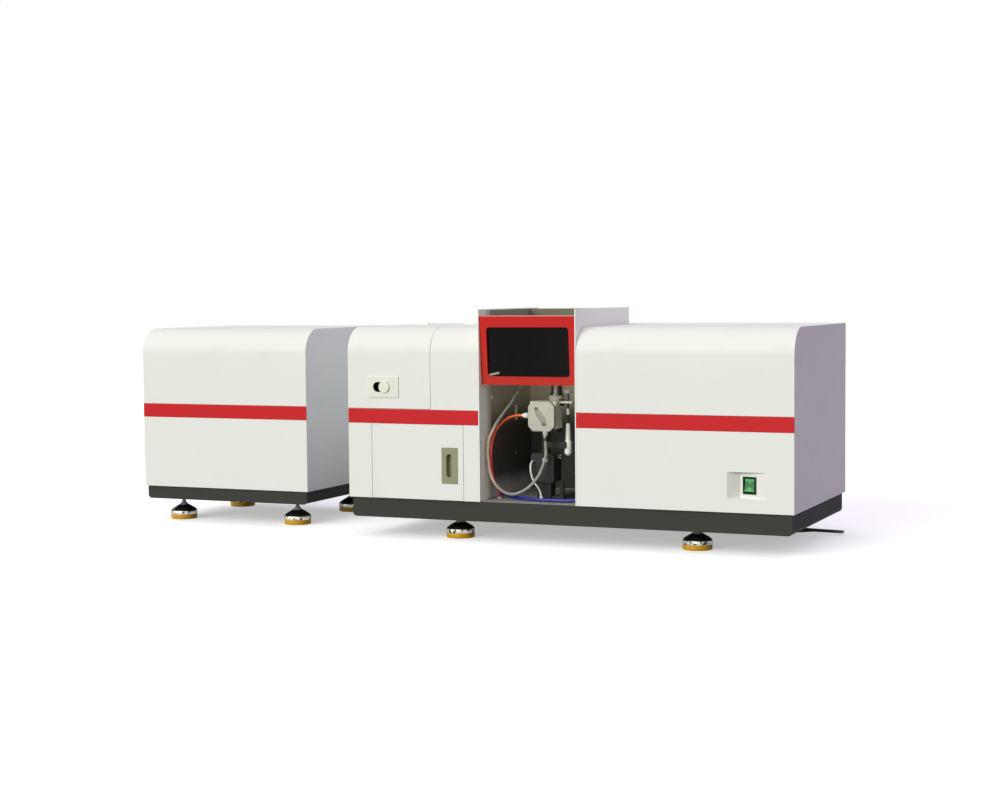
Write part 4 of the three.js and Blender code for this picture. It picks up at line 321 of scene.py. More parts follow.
def softened(node, finish, edge, segments=2, others=(), crease=None):
    """Copy of a CAD node with its points merged, its flat faces joined and its sharp edges rounded.

    others holds (finish, test) pairs: faces whose middle, in millimetres, passes the test get that finish.
    Edges inside the box crease, (low, high), stay hard although their two faces nearly agree.
    """
    shape = bmesh.new()
    shape.from_mesh(frame["nodes"][node].data)
    bmesh.ops.remove_doubles(shape, verts=shape.verts, dist=2e-6)
    bmesh.ops.dissolve_limit(shape, angle_limit=math.radians(0.5), verts=shape.verts, edges=shape.edges)
    mesh = bpy.data.meshes.new(node + "_skin")
    shape.to_mesh(mesh)
    shape.free()
    if "custom_normal" in mesh.attributes:
        mesh.attributes.remove(mesh.attributes["custom_normal"])
    mesh.materials.clear()
    mesh.materials.append(finish.material)
    number = np.zeros(len(mesh.polygons), np.int32)
    middle = np.zeros(3 * len(number))
    mesh.polygons.foreach_get("center", middle)
    middle = (middle.reshape(-1, 3) - CORNER) * 1000
    for other, test in others:
        mesh.materials.append(other.material)
        number[test(middle)] = len(mesh.materials) - 1
    mesh.polygons.foreach_set("material_index", number)
    mesh.shade_smooth()
    mesh.set_sharp_from_angle(angle=SHARP)
    if crease is not None:
        corner, ends = np.zeros(3 * len(mesh.vertices)), np.zeros(2 * len(mesh.edges), np.int32)
        mesh.vertices.foreach_get("co", corner)
        mesh.edges.foreach_get("vertices", ends)
        low, high = place(crease)
        held = ((corner.reshape(-1, 3) > low) & (corner.reshape(-1, 3) < high)).all(1)
        hard = held[ends.reshape(-1, 2)].all(1)
        sharp = np.zeros(len(hard), bool)
        mesh.attributes["sharp_edge"].data.foreach_get("value", sharp)
        mesh.attributes["sharp_edge"].data.foreach_set("value", sharp | hard)
    made = shown(node + "_skin", mesh)
    bevel = made.modifiers.new("soft_edges", "BEVEL")
    bevel.width, bevel.segments = edge / 1000, segments
    bevel.limit_method, bevel.angle_limit = "ANGLE", SHARP
    bevel.harden_normals, bevel.use_clamp_overlap = True, True
    return keep(made, BODY_OF[node], [node])


def between(axis, low, high):
    """Test for softened: the middles of the faces lie from low to high along the axis, in millimetres."""
    return lambda middle: (middle[:, axis] > low) & (middle[:, axis] < high)


def beyond(axis, low, high):
    """Test for softened: the middles of the faces lie below low or above high along the axis."""
    return lambda middle: (middle[:, axis] < low) | (middle[:, axis] > high)


# Finishes


class Wire:
    """A value that runs through a tree's nodes: arithmetic on it adds the Math nodes."""

    def __init__(self, nodes, socket):
        self.nodes, self.socket = nodes, socket

    def _math(self, operation, *values):
        return self.nodes.node("ShaderNodeMath", {"operation": operation}, dict(enumerate(values)))

    def __add__(self, other):
        return self._math("ADD", self, other)

    def __sub__(self, other):
        return self._math("SUBTRACT", self, other)

    def __rsub__(self, other):
        return self._math("SUBTRACT", other, self)

    def __mul__(self, other):
        return self._math("MULTIPLY", self, other)

    def __gt__(self, other):
        return self._math("GREATER_THAN", self, other)

    def __lt__(self, other):
        return self._math("LESS_THAN", self, other)

    __radd__, __rmul__ = __add__, __mul__


class Nodes:
    """A node tree and the one way to add a node to it."""

    def __init__(self, tree):
        self.tree = tree

    def node(self, kind, settings, sockets, output=0):
        """Adds a node: its settings first, a ramp's stops among them, then its sockets' values or links."""
        made = self.tree.nodes.new(kind)
        for setting, value in settings.items():
            if setting == "stops":
                ends = made.color_ramp.elements
                ends[0].position, ends[0].color = value[0]
                ends[-1].position, ends[-1].color = value[-1]
                for position, colour in value[1:-1]:
                    ends.new(position).color = colour
            else:
                setattr(made, setting, value)
        for socket, value in sockets.items():
            if isinstance(value, Wire):
                self.tree.links.new(value.socket, made.inputs[socket])
            else:
                made.inputs[socket].default_value = value
        return Wire(self, made.outputs[output])


class Finish(Nodes):
    """One material: a Principled shader, its constants, and the nodes that vary it over the surface."""

    def __init__(self, name, constants):
        self.material = bpy.data.materials.new(name)
        self.material.use_nodes = True
        super().__init__(self.material.node_tree)
        self.shader = self.tree.nodes["Principled BSDF"]
        for socket, value in constants.items():
            self.shader.inputs[socket].default_value = value
        self.place = self.node("ShaderNodeTexCoord", {}, {}, "Object")

    def feed(self, socket, wire):
        """Runs a varying value or colour into one of the shader's sockets."""
        self.tree.links.new(wire.socket, self.shader.inputs[socket])

    def noise(self, scale, detail=2.0, stretch=None):
        """Smooth noise from 0 to 1; scale counts its lumps along a metre, stretch scales each axis."""
        where = self.place
        if stretch is not None:
            where = self.node("ShaderNodeMapping", {}, {"Vector": where, "Scale": stretch})
        return self.node("ShaderNodeTexNoise", {}, {"Vector": where, "Scale": scale, "Detail": detail})

    def height(self, axis=2):
        """Distance along one axis of the frame, in metres."""
        return self.node("ShaderNodeSeparateXYZ", {}, {0: self.place}, axis)

    def within(self, wire, low, high):
        """0 up to low, 1 from high on and a smooth step between; low may be the larger of the two."""
        settings = {"interpolation_type": "SMOOTHSTEP"}
        return self.node("ShaderNodeMapRange", settings, {0: wire, 1: low, 2: high})

    def mix(self, share, first, second):
        """Colour between first and second; the node's colours are its sockets 6 and 7 and its output 2."""
        return self.node("ShaderNodeMix", {"data_type": "RGBA"}, {0: share, 6: first, 7: second}, 2)

    def ramp(self, wire, stops):
        """Colour from a ramp's stops."""
        return self.node("ShaderNodeValToRGB", {"stops": stops}, {0: wire})

    def peel(self):
        """Height of a baked coat's orange peel: soft lumps about 2 mm across with finer ones on them."""
        return self.noise(420, 2) * 0.7 + self.noise(1500, 1) * 0.3

    def dress(self, colour, rough, bumps=None, depth=0.0):
        """Feeds the colour, the roughness and bumps of the given depth in millimetres."""
        self.feed("Base Color", colour)
        self.feed("Roughness", rough)
        if bumps is not None:
            values = {"Height": bumps, "Distance": depth / 1000, "Strength": 1.0}
            self.feed("Normal", self.node("ShaderNodeBump", {}, values))
        return self


def screen(red, green, blue):
    """Colour from screen values of 0 to 255, as the linear values that a shader takes."""
    level = np.array([red, green, blue]) / 255
    linear = np.where(level <= 0.04045, level / 12.92, ((level + 0.055) / 1.055) ** 2.4)
    return (*(float(v) for v in linear), 1.0)


def shade(colour, factor):
    """The same colour, darker or lighter."""
    return (*(min(1.0, channel * factor) for channel in colour[:3]), 1.0)


def powder_coat(name, colour, rough=0.4, depth=0.05, soil=0.95):
    """Baked powder coat: orange peel, a broad drift of colour, and handled patches."""
    finish = Finish(name, {"Specular IOR Level": 0.12})
    drift = finish.noise(7, 4)
    grip = finish.within(finish.noise(23, 3), 0.52, 0.72)
    return finish.dress(finish.mix(drift * 0.8 + grip * 0.2, colour, shade(colour, soil)),
                        rough + (drift - 0.5) * 0.1 + grip * 0.05, finish.peel(), depth)


def textured_coat(name, colour, rough, depth):
    """Wrinkle coat: fine hard grains with worn lighter tops."""
    finish = Finish(name, {"Specular IOR Level": 0.08})
    grain, drift = finish.noise(1100, 3), finish.noise(9, 3)
    tops = finish.within(grain, 0.5, 0.68)
    return finish.dress(finish.mix(tops * 0.3 + drift * 0.3, colour, shade(colour, 1.35)),
                        rough - tops * 0.1 + (drift - 0.5) * 0.12, grain, depth)


def moulded(name, colour, rough=0.42, depth=0.03, gloss=0.5):
    """Moulded plastic: a fine spark-eroded grain, faint flow marks and slight wear."""
    finish = Finish(name, {"Specular IOR Level": gloss})
    flow = finish.noise(60, 3, (1, 1, 0.25))
    return finish.dress(finish.mix(flow, shade(colour, 0.93), shade(colour, 1.04)),
                        rough + (flow - 0.5) * 0.18, finish.noise(2200, 2), depth)


def brushed(name, colour, rough=0.3, stretch=(0.04, 1, 1)):
    """Brushed metal: noise drawn out along the brushing, in colour, gloss and relief."""
    finish = Finish(name, {"Metallic": 1.0})
    strokes, stain = finish.noise(900, 3, stretch), finish.noise(40, 3)
    return finish.dress(finish.mix(strokes * 0.6 + stain * 0.4, shade(colour, 0.8), colour),
                        rough + (strokes - 0.5) * 0.2 + (stain - 0.5) * 0.12, strokes, 0.02)


def cast_metal(name, colour):
    """Sand casting: coarse skin with darker hollows."""
    finish = Finish(name, {"Metallic": 0.75})
    sand = finish.noise(380, 4)
    return finish.dress(finish.mix(sand, shade(colour, 0.7), shade(colour, 1.1)),
                        0.5 + (sand - 0.5) * 0.25, sand, 0.18)


def mottled_band():
    """Rolled band of the feet: bright metal worn off in patches down to its black base."""
    finish = Finish("foot_band", {"Specular IOR Level": 0.3})
    patch = finish.within(finish.noise(120, 4), 0.36, 0.52)
    finish.feed("Metallic", patch * 0.9)
    return finish.dress(finish.mix(patch, screen(22, 21, 20), screen(214, 212, 206)), 0.46 - patch * 0.16,
                        patch, 0.03)


def rubber(name, colour):
    """Rubber or polyurethane: faint mottling and a dusty bloom."""
    finish = Finish(name, {"Specular IOR Level": 0.35})
    bloom = finish.noise(130, 4)
    return finish.dress(finish.mix(finish.within(bloom, 0.45, 0.8) * 0.35, colour, shade(colour, 1.9)),
                        0.5 + (bloom - 0.5) * 0.2, finish.noise(1400, 2), 0.04)


def door_coat():
    """Red coat of the flame door: deeper at its head, warmer at its foot, with a painted highlight along the
    top edge.
    """
    finish = Finish("door_red", {"Specular IOR Level": 0.25})
    drift = finish.noise(9, 4)
    foot_edge, head = (corner[2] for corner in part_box("flame_door"))
    level = finish.height() + (drift - 0.5) * 0.03
    red = finish.mix(finish.within(level, foot_edge, head), screen(190, 38, 24), screen(198, 14, 8))
    # A pale line along the top edge: a painted highlight.
    worn = finish.within(finish.height() + (finish.noise(300, 3) - 0.5) * 0.001, head - 0.003, head - 0.001)
    return finish.dress(finish.mix(worn * 0.6, red, screen(232, 172, 158)), 0.36 + (drift - 0.5) * 0.1,
                        finish.peel(), 0.04)


def bay_coat():
    """Textured grey of the bay with light and shade painted in: walls dark below and olive above, as painted
    shade and painted light; a painted shadow low on the rear wall's right; painted shade towards the top;
    lighter at the side walls' foot with painted bounce light; paler front edges; and a grey floor with
    painted shade under the burner.

    Each fade runs between two places in metres: heights, distances from the unit's front or from its left.
    """
    finish = Finish("bay_grey", {"Specular IOR Level": 0.2})
    grain, drift = finish.noise(1100, 3), finish.noise(14, 4)
    level = finish.height() + (drift - 0.5) * 0.02
    depth, along = finish.height(1) - CORNER[1], finish.height(0) - CORNER[0]
    rear_wall = finish.within(depth, 0.2822, 0.283)
    # Dark below and lighter above: painted shade and painted light.
    above = finish.within(level, 0.235, 0.315)
    # A dark patch low on the rear wall's right: a painted shadow.
    corner = finish.within(along, 0.44, 0.51) * finish.within(level, 0.43, 0.31) * rear_wall
    # Darker towards the top: painted shade.
    head = finish.within(level, 0.35, 0.48)
    # Lighter at the foot of the side walls: painted bounce light.
    painted_bounce_low = finish.within(level, 0.15, 0.1) * (1 - rear_wall)
    front_edge = finish.within(depth, 0.064, 0.05)
    bottom = finish.within(finish.height(), 0.0945, 0.0925)
    # Darker on the floor under the burner: painted shade.
    painted_shade_under_burner = finish.within(along, 0.42, 0.47) * finish.within(depth, 0.07, 0.12)
    tops = finish.within(grain, 0.5, 0.68)
    # The painted light above is paler on the side walls than on the rear wall.
    olive = finish.mix(rear_wall, screen(176, 172, 142), screen(236, 232, 196))
    walls = finish.mix(above, screen(70, 67, 62), olive)
    walls = finish.mix(corner, walls, screen(34, 33, 30))
    walls = finish.mix(head, walls, finish.mix(rear_wall, screen(146, 145, 130), screen(112, 111, 96)))
    walls = finish.mix(painted_bounce_low, walls, screen(204, 202, 196))
    walls = finish.mix(front_edge, walls, screen(214, 208, 184))
    floor_painted_shade = finish.mix(painted_shade_under_burner, screen(150, 149, 145), screen(52, 51, 48))
    return finish.dress(finish.mix(tops * 0.2, finish.mix(bottom, walls, floor_painted_shade), screen(160, 158, 146)),
                        0.62 - tops * 0.1 + (drift - 0.5) * 0.12, grain, 0.06)


def smoked_glass():
    """Dark tinted glass of the flame door, with faint smears in its gloss."""
    finish = Finish("smoked_glass", {"Transmission Weight": 1.0, "IOR": 1.2, "Specular IOR Level": 0.3})
    smear = finish.noise(30, 4, (1, 1, 0.3))
    return finish.dress(finish.mix(smear, screen(26, 22, 20), screen(36, 32, 30)),
                        0.03 + finish.within(smear, 0.55, 0.8) * 0.07)


def clear_hose():
    """Translucent tube: milky wall with a faint haze, pinkish at its left with the red hose behind painted in
    as light seen through it, and more grey above with painted shade.
    """
    finish = Finish("clear_hose", {"Transmission Weight": 0.35, "IOR": 1.42, "Subsurface Weight": 0.0})
    haze = finish.noise(90, 3)
    # Pinkish at the left: the red hose behind, painted in as light seen through the wall.
    painted_red_show_through = finish.within(finish.height(0) - CORNER[0], 0.352, 0.338)
    # More grey above: painted shade.
    above = finish.within(finish.height(), 0.235, 0.275)
    milky = finish.mix(haze, screen(160, 157, 151), screen(190, 186, 180))
    milky = finish.mix(painted_red_show_through, milky, finish.mix(haze, screen(226, 190, 176), screen(238, 208, 194)))
    painted_shade_grey = finish.mix(haze, screen(150, 147, 138), screen(182, 179, 170))
    return finish.dress(finish.mix(above, milky, painted_shade_grey), 0.18 + haze * 0.16, finish.noise(700, 1), 0.02)


def fuel_hose_rubber():
    """Fuel tube: orange at the top, red below and dark red near the floor."""
    finish = Finish("fuel_hose_rubber", {"Specular IOR Level": 0.45})
    rise = finish.height() * 4.6 - 0.42
    mottled = rise + (finish.noise(60, 3) - 0.5) * 0.1
    stops = [(0.0, screen(150, 24, 34)), (0.25, screen(196, 38, 36)), (0.62, screen(226, 66, 38)),
             (1.0, screen(255, 128, 44))]
    return finish.dress(finish.ramp(mottled, stops), 0.3 + finish.noise(200, 3) * 0.16,
                        finish.noise(1200, 2), 0.02)


def lit_green():
    """Green rocker with a faint glow, and painted highlights at its two ends, in colour and in glow; a white
    bar and ring stand for on and off.

    aside and level are millimetres from the rocker's middle. The marks compare squares of distances.
    """
    finish = Finish("lit_green", {"Emission Strength": 0.35, "Specular IOR Level": 0.4})
    aside = (finish.height(0) - (CORNER[0] + 0.92525)) * 1000
    level = (finish.height() - 0.1465) * 1000
    from_bar, from_ring = level - 6.6, level + 6.6
    bar = (aside * aside < 0.3) * (from_bar * from_bar < 5.5)
    reach = aside * aside + from_ring * from_ring
    ring = (reach < 7.3) * (reach > 3.6)
    # Lighter and glowing more at the two ends: painted highlights.
    ends = finish.within(level * level, 14, 160)
    cloud = finish.noise(260, 3)
    green = finish.mix(ends, screen(14, 100, 48), screen(58, 172, 86))
    cloudy = finish.mix(cloud * 0.5, green, screen(18, 96, 48))
    marked = finish.mix(bar + ring, cloudy, screen(150, 212, 164))
    finish.feed("Emission Color", finish.mix(ends, screen(2, 62, 26), screen(62, 180, 86)))
    return finish.dress(marked, 0.2 + cloud * 0.14, cloud, 0.02)


def lamp_glass():
    """Clear envelope glass with a faint grey getter haze."""
    finish = Finish("lamp_glass", {"Transmission Weight": 1.0, "IOR": 1.47})
    haze = finish.noise(35, 3)
    return finish.dress(finish.mix(haze, screen(228, 234, 236), screen(250, 252, 252)),
                        0.01 + finish.within(haze, 0.5, 0.9) * 0.06)


def laminations(name, colour):
    """Stack of varnished steel sheets: thin dark lines, one every millimetre along the depth."""
    finish = Finish(name, {"Metallic": 0.3})
    sheet = finish.node("ShaderNodeMath", {"operation": "FRACT"}, {0: finish.height(1) * 1000}) - 0.5
    dark = finish.within(sheet * sheet, 0.1, 0.25)
    return finish.dress(finish.mix(dark * 0.7 + finish.noise(50, 3) * 0.3, colour, shade(colour, 0.4)),
                        0.42 + dark * 0.2, 1 - dark, 0.15)


# The cabinets' white has five shades of one coat: fronts and tops as the coat is, the right side
# darker with painted shade, and the hood, the side that faces the gap between the cabinets and the
# hood's inside lighter with painted light.
white_coat = powder_coat("white_coat", screen(236, 237, 232))
shaded_side_coat = powder_coat("shaded_side_coat", screen(211, 207, 213))
lit_hood_coat = powder_coat("lit_hood_coat", screen(251, 251, 248))
lit_gap_coat = powder_coat("lit_gap_coat", screen(246, 253, 250))
lit_hood_inside_coat = powder_coat("lit_hood_inside_coat", screen(248, 255, 236))
# The switch pocket's left side and top: a darker copy of the white, painted shade.
shaded_pocket_coat = powder_coat("shaded_pocket_coat", screen(221, 221, 212), 0.42)
stripe_red = powder_coat("stripe_red", screen(206, 36, 42), 0.36, 0.04, 0.9)
door_red = door_coat()
base_grey = textured_coat("base_grey", screen(62, 62, 58), 0.7, 0.1)
# The base tray's right side: a darker copy of its grey, painted shade.
shaded_base_side = textured_coat("shaded_base_side", screen(30, 28, 32), 0.7, 0.1)
bay_grey = bay_coat()
lift_grey = textured_coat("lift_grey", screen(52, 53, 52), 0.5, 0.06)
smoke = smoked_glass()
latch_ivory = moulded("latch_ivory", screen(228, 230, 216))
block_ivory = moulded("block_ivory", screen(190, 188, 175), 0.4)
pull_olive = moulded("pull_olive", screen(138, 137, 106), 0.5, 0.05)
# The spray chamber's olive raised almost to white: painted light on a part in the bay's shade.
lit_chamber_olive = moulded("lit_chamber_olive", screen(244, 242, 220), 0.45)
bridge_olive = moulded("bridge_olive", screen(146, 150, 132), 0.4)
black_plastic = moulded("black_plastic", screen(30, 30, 31), 0.4)
bell_black = moulded("bell_black", screen(26, 27, 24), 0.3, 0.02)
switch_black = moulded("switch_black", screen(10, 30, 17), 0.45, 0.02, 0.15)
white_plastic = moulded("white_plastic", screen(238, 238, 234), 0.4, 0.02)
# The drain trap's white, lighter than the white plastic: painted light on a part in the cabinets' shade.
lit_trap_white = moulded("lit_trap_white", screen(250, 250, 247), 0.35, 0.02)
# Ivory of the clamp knob and neck flange, lighter than the latch's: painted light on parts in the flame
# door's shade.
lit_knob_ivory = moulded("lit_knob_ivory", screen(244, 244, 226), 0.3, 0.02)
green_light = lit_green()
clear_tube = clear_hose()
fuel_tube = fuel_hose_rubber()
air_tube = moulded("air_hose_blue", screen(28, 37, 142), 0.3, 0.02)
steel = brushed("steel", screen(196, 196, 192))
dark_steel = brushed("dark_steel", screen(96, 96, 94), 0.4)
head_steel = brushed("head_steel", screen(138, 136, 130), 0.36)
nickel = brushed("nickel", screen(206, 204, 196), 0.22, (1, 1, 0.1))
zinc = brushed("zinc", screen(188, 190, 190), 0.34, (1, 1, 1))
brass = brushed("brass", screen(206, 170, 98), 0.3, (1, 0.1, 1))
alloy = cast_metal("alloy", screen(150, 154, 156))
foot_band = mottled_band()
cone_grey = textured_coat("cone_grey", screen(172, 172, 168), 0.4, 0.03)
pad_amber = rubber("pad_amber", screen(206, 152, 26))
cable_rubber = rubber("cable_rubber", screen(26, 26, 27))
glass = lamp_glass()
core_steel = laminations("core_steel", screen(92, 88, 82))
winding = brushed("winding_copper", screen(176, 104, 60), 0.36, (1, 1, 12))
solder_mask = powder_coat("solder_mask", screen(30, 96, 56), 0.34, 0.03, 0.8)
dial_white = moulded("dial_white", screen(240, 240, 236), 0.3, 0.01)


# Mains lead

LEAD_RADIUS, COIL_PITCH, COIL_TURNS = 3.5, 7.8, 5
GLAND_SPOT = (860, 449.9, 122)
PLUG_START, PLUG_Y, PLUG_Z = 597.9, 491.75, 12.3
CORD_ROUTE = [
    (860, 488.1, 122), (860, 495.1, 122), (861, 515, 117), (864, 533, 103), (868, 547, 80), (872, 554, 54),
    (875, 554, 30), (877, 546, 12), (879, 530, 4.4), (881, 508, 3.7), (886, 478, 3.7), (902, 450, 3.7),
    (926.8, 435.5, 3.7), (954, 427.4, 3.7), (976, 422.8, 3.7), (1000.8, 420.2, 3.7), (1014.7, 415.3, 4.2),
    (1024.2, 404.3, 5.7), (1026.6, 389.9, 7.7), (1022.1, 376.1, 9.7), (1011.2, 366.6, 11.1),
    (996.7, 363.9, 11.6), (979, 365.2, 11.6), (965.8, 367, 11), (938, 369, 8), (905, 373, 5),
    (872, 384, 3.8), (846, 404, 3.6), (832, 432, 3.6), (828, 458, 3.6), (819, 479, 3.6), (800, 491, 3.6),
    (770, 494, 3.6), (735, 492.5, 3.6), (700.8, 491.75, 3.5), (697.3, 491.75, 3.5)]


def wound_coil(steps=160):
    """Two flat spirals, one on the other: x, y = centre + radius * (cos a, sin a).

    The radius falls by a pitch a turn, then grows by it again, while the lead steps up one layer half way.
    """
    turns = np.linspace(0, COIL_TURNS, steps)
    angle = -math.pi / 2 - 2 * math.pi * turns
    radius = 48.25 - COIL_PITCH * np.minimum(turns, COIL_TURNS - turns)
    share = np.clip((turns - COIL_TURNS / 2 + 0.25) / 0.5, 0, 1)
    level = LEAD_RADIUS + COIL_PITCH * share * share * (3 - 2 * share)
    return np.column_stack([690 + radius * np.cos(angle), 540 + radius * np.sin(angle), level])


def line(name, points, radius, finish, body, replaced):
    """Round cord or hose of the radius along the points: a curve, or with no body a mesh."""
    curve = bpy.data.curves.new(name, "CURVE")
    curve.dimensions, curve.bevel_depth, curve.bevel_resolution = "3D", radius / 1000, 5
    curve.use_fill_caps, curve.twist_mode = True, "MINIMUM"
    spline = curve.splines.new("POLY")
    spline.points.add(len(points) - 1)
    spline.points.foreach_set("co", np.column_stack([place(points), np.ones(len(points))]).ravel())
    spline.use_smooth = True
    curve.materials.append(finish.material)
    made = shown(name, curve)
    if body is None:
        mesh = bpy.data.meshes.new_from_object(made.evaluated_get(bpy.context.evaluated_depsgraph_get()))
        bpy.data.objects.remove(made)
        mesh.name = name
        mesh.shade_smooth()
        made = shown(name, mesh)
    return keep(made, body, replaced)


def cord_gland():
    """Strain relief: a nut on the panel, then a sleeve whose radius tapers, less a raised cosine for ribs."""
    start, end, rib_depth, rib_pitch = 5, 37.4, 0.8, 4.05
    along = np.linspace(start, end, 60)
    taper = 9 - 4 * (along - start) / (end - start)
    sleeve = taper - rib_depth * (0.5 - 0.5 * np.cos((along - start) * 2 * math.pi / rib_pitch))
    nut = [(hexagon(18.5, 48), 0), (hexagon(18.5, 48), 3.6), (hexagon(17.6, 48), 4.4), (9.0, 4.9)]
    profile = [*nut, *zip(sleeve, along), (4.3, 37.8)]
    return stand_in("cord_gland", turnings(GLAND_SPOT, Y, (profile, 48, black_plastic)))


def mains_plug():
    """Plug: a soft block that narrows to its nose, with two flat pins and a moulded grip."""
    section = rounded(24, 30, 5)
    stations = [(0, 0.94), (1.2, 1), (22, 1), (26, 0.9), (30, 0.9), (33, 0.97), (38, 0.97), (41, 0.84),
                (42, 0.66)]
    rows = [np.column_stack([np.full(len(section), PLUG_START + x), section[:, 1] * size + PLUG_Y,
                             section[:, 0] * size + PLUG_Z]) for x, size in stations]
    nose = [(6.0, 0), (5.8, 1.5), (5.2, 2.6), (5.6, 3.6), (4.9, 5), (5.2, 6), (4.5, 7.4), (4.8, 8.4),
            (4.1, 10), (4.3, 11), (3.8, 13.6)]
    shells = [(skin(rows), black_plastic)]
    shells += turnings((PLUG_START + 42, PLUG_Y, PLUG_Z), X, (nose, 24, black_plastic))
    for side in (-6.5, 6.5):
        root = (PLUG_START + 0.6, PLUG_Y + side, PLUG_Z)
        shells.append((plate(rounded(2, 6, 0.9), root, Z, Y, 0, 18.6, 0.6), nickel))
    return stand_in("mains_plug", shells)


def mains_lead():
    """Gland, lead and coil in one line, and the plug at its end."""
    into_plug = [(672, PLUG_Y, 11.3), (654.2, PLUG_Y, 11.8)]
    path = np.vstack([smooth_path(CORD_ROUTE, 8), wound_coil(), into_plug])
    lead = line("mains_lead", path, LEAD_RADIUS, cable_rubber, "cabinets",
                ["mains_cord", "mains_coil"])
    cord_gland()
    mains_plug()


mains_lead()


# Hoses of the burner bay: their routes start at the bay's left side

OXIDANT_ROUTE = [
    (125.5, 78, 219.7), (125.5, 78, 212.7), (127.3, 75, 190), (122.6, 67, 164), (112.5, 57, 139),
    (92, 47, 116.5), (62, 38, 105), (39, 31, 114), (20, 29, 138), (11, 28, 177), (11, 29, 219), (24, 36, 254),
    (34, 52, 277), (43, 78, 300), (48, 105, 324), (49.5, 122, 337), (46, 140, 349), (41.5, 160, 365),
    (39, 190, 388), (40.5, 226, 411), (44, 258.2, 424.6), (44, 272.2, 428), (44, 279.2, 428)]
FUEL_ROUTE = [
    (71.9, 78, 275), (64.9, 78, 275), (54, 74, 274), (40, 66, 268), (26.5, 53, 253), (17.5, 41, 229),
    (14, 35, 195), (14.5, 37.5, 162), (16, 43, 141), (18.4, 49.5, 126), (21, 55.5, 113.5), (23, 60, 102.8),
    (23, 60, 95.8)]
AIR_ROUTE = [
    (8.6, 94, 99), (15.6, 94, 99), (27, 89, 97.8), (38, 80.5, 96.4), (49, 69, 95.8), (64, 56, 95.8),
    (86, 45, 95.8), (121, 37, 95.8), (160, 34.5, 96), (195, 34, 96.5), (216.4, 34, 99), (223.4, 34, 99)]
SAMPLE_ROUTE = [
    (90.5, 89.2, 174), (90.5, 85.7, 173.7), (90.5, 80.4, 171.4), (90.5, 76.7, 167.2), (90.7, 74.7, 161.3),
    (91.5, 74.4, 152), (94, 75.5, 140), (99, 77, 127.5), (107, 78.5, 116.5), (112, 79, 106), (114, 79, 91.8)]


def bay_hose(name, node, route, radius, finish, bend=None):
    """Hose of the bay. bend, a start and an end, is given for one that runs from the cabinet to the burner;
    only its presence is read, and such a hose is made as a mesh with no body.
    """
    path = smooth_path(np.array(route) + X * BAY_LEFT)
    hose = line(name, path, radius, finish, None if bend else "cabinets", [node])
    if bend:
        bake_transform(hose)


bay_hose("oxidant_hose_tube", "oxidant_hose", OXIDANT_ROUTE, 3.4, clear_tube,
         bend=((376, 78, 219.7), (445.5, 78, 219.7)))
bay_hose("fuel_hose_tube", "fuel_hose", FUEL_ROUTE, 3, fuel_tube, bend=((345, 78, 275), (391.9, 78, 275)))
bay_hose("air_hose_tube", "air_hose", AIR_ROUTE, 3.6, air_tube)
bay_hose("sample_tube_hose", "sample_tube", SAMPLE_ROUTE, 2, white_plastic)


# Cabinets

OPTICS_RIGHT, POWER_RIGHT, TRAY_RIGHT = ((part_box(node)[1][0] - CORNER[0]) * 1000 - 0.1
                                         for node in ("optics_housing", "power_housing", "base_tray"))
POCKET_LOW, POCKET_HIGH = (871, 0.6, 113), (967, 20, 180)


def pocket_shade(middle):
    """Faces of the switch pocket that lie in its shade: its left side and its top."""
    pocket = np.all((middle > POCKET_LOW) & (middle < POCKET_HIGH), axis=1)
    left, top = middle[:, 0] < 900, middle[:, 2] > 172
    return pocket & (left | top)


for node in ("lamp_housing", "lamp_lid", "gas_door", "main_rear_panel", "power_rear_panel"):
    softened(node, white_coat, 0.8)
# Copies of the white carry painted light on the hood, on its left wall's face towards the bay and on the
# power cabinet's side towards the gap, and painted shade on the optics cabinet's right side and on the switch
# pocket's left side and top.
softened("burner_hood", lit_hood_coat, 0.8, others=[(lit_hood_inside_coat, between(0, BAY_LEFT + 2, BAY_LEFT + 3))])
softened("power_housing", white_coat, 0.8, others=[(lit_gap_coat, beyond(0, -math.inf, POWER_RIGHT))])
softened("optics_housing", white_coat, 0.8,
         others=[(shaded_side_coat, beyond(0, -math.inf, OPTICS_RIGHT)), (shaded_pocket_coat, pocket_shade)],
         crease=((870, -1, 112), (968, 13.5, 180)))
for node in ("lamp_stripe", "optics_stripe", "power_stripe"):
    softened(node, stripe_red, 0.3)
softened("base_tray", base_grey, 1.2, 3, others=[(shaded_base_side, beyond(0, -math.inf, TRAY_RIGHT))])
softened("power_base_tray", base_grey, 1.2, 3)
softened("bay_liner", bay_grey, 0.4)
softened("latch_plate", latch_ivory, 0.5)
softened("latch_button", latch_ivory, 0.5)
piece("latch_shutter", [(plate(rounded(29.6, 21.4, 2), (98.8, -0.6, 337.5), X, Z, 0, 0.9, 0.3), latch_ivory)],
      BODY_OF["latch_button"])
softened("gas_door_pull", pull_olive, 0.6)


# Levelling feet


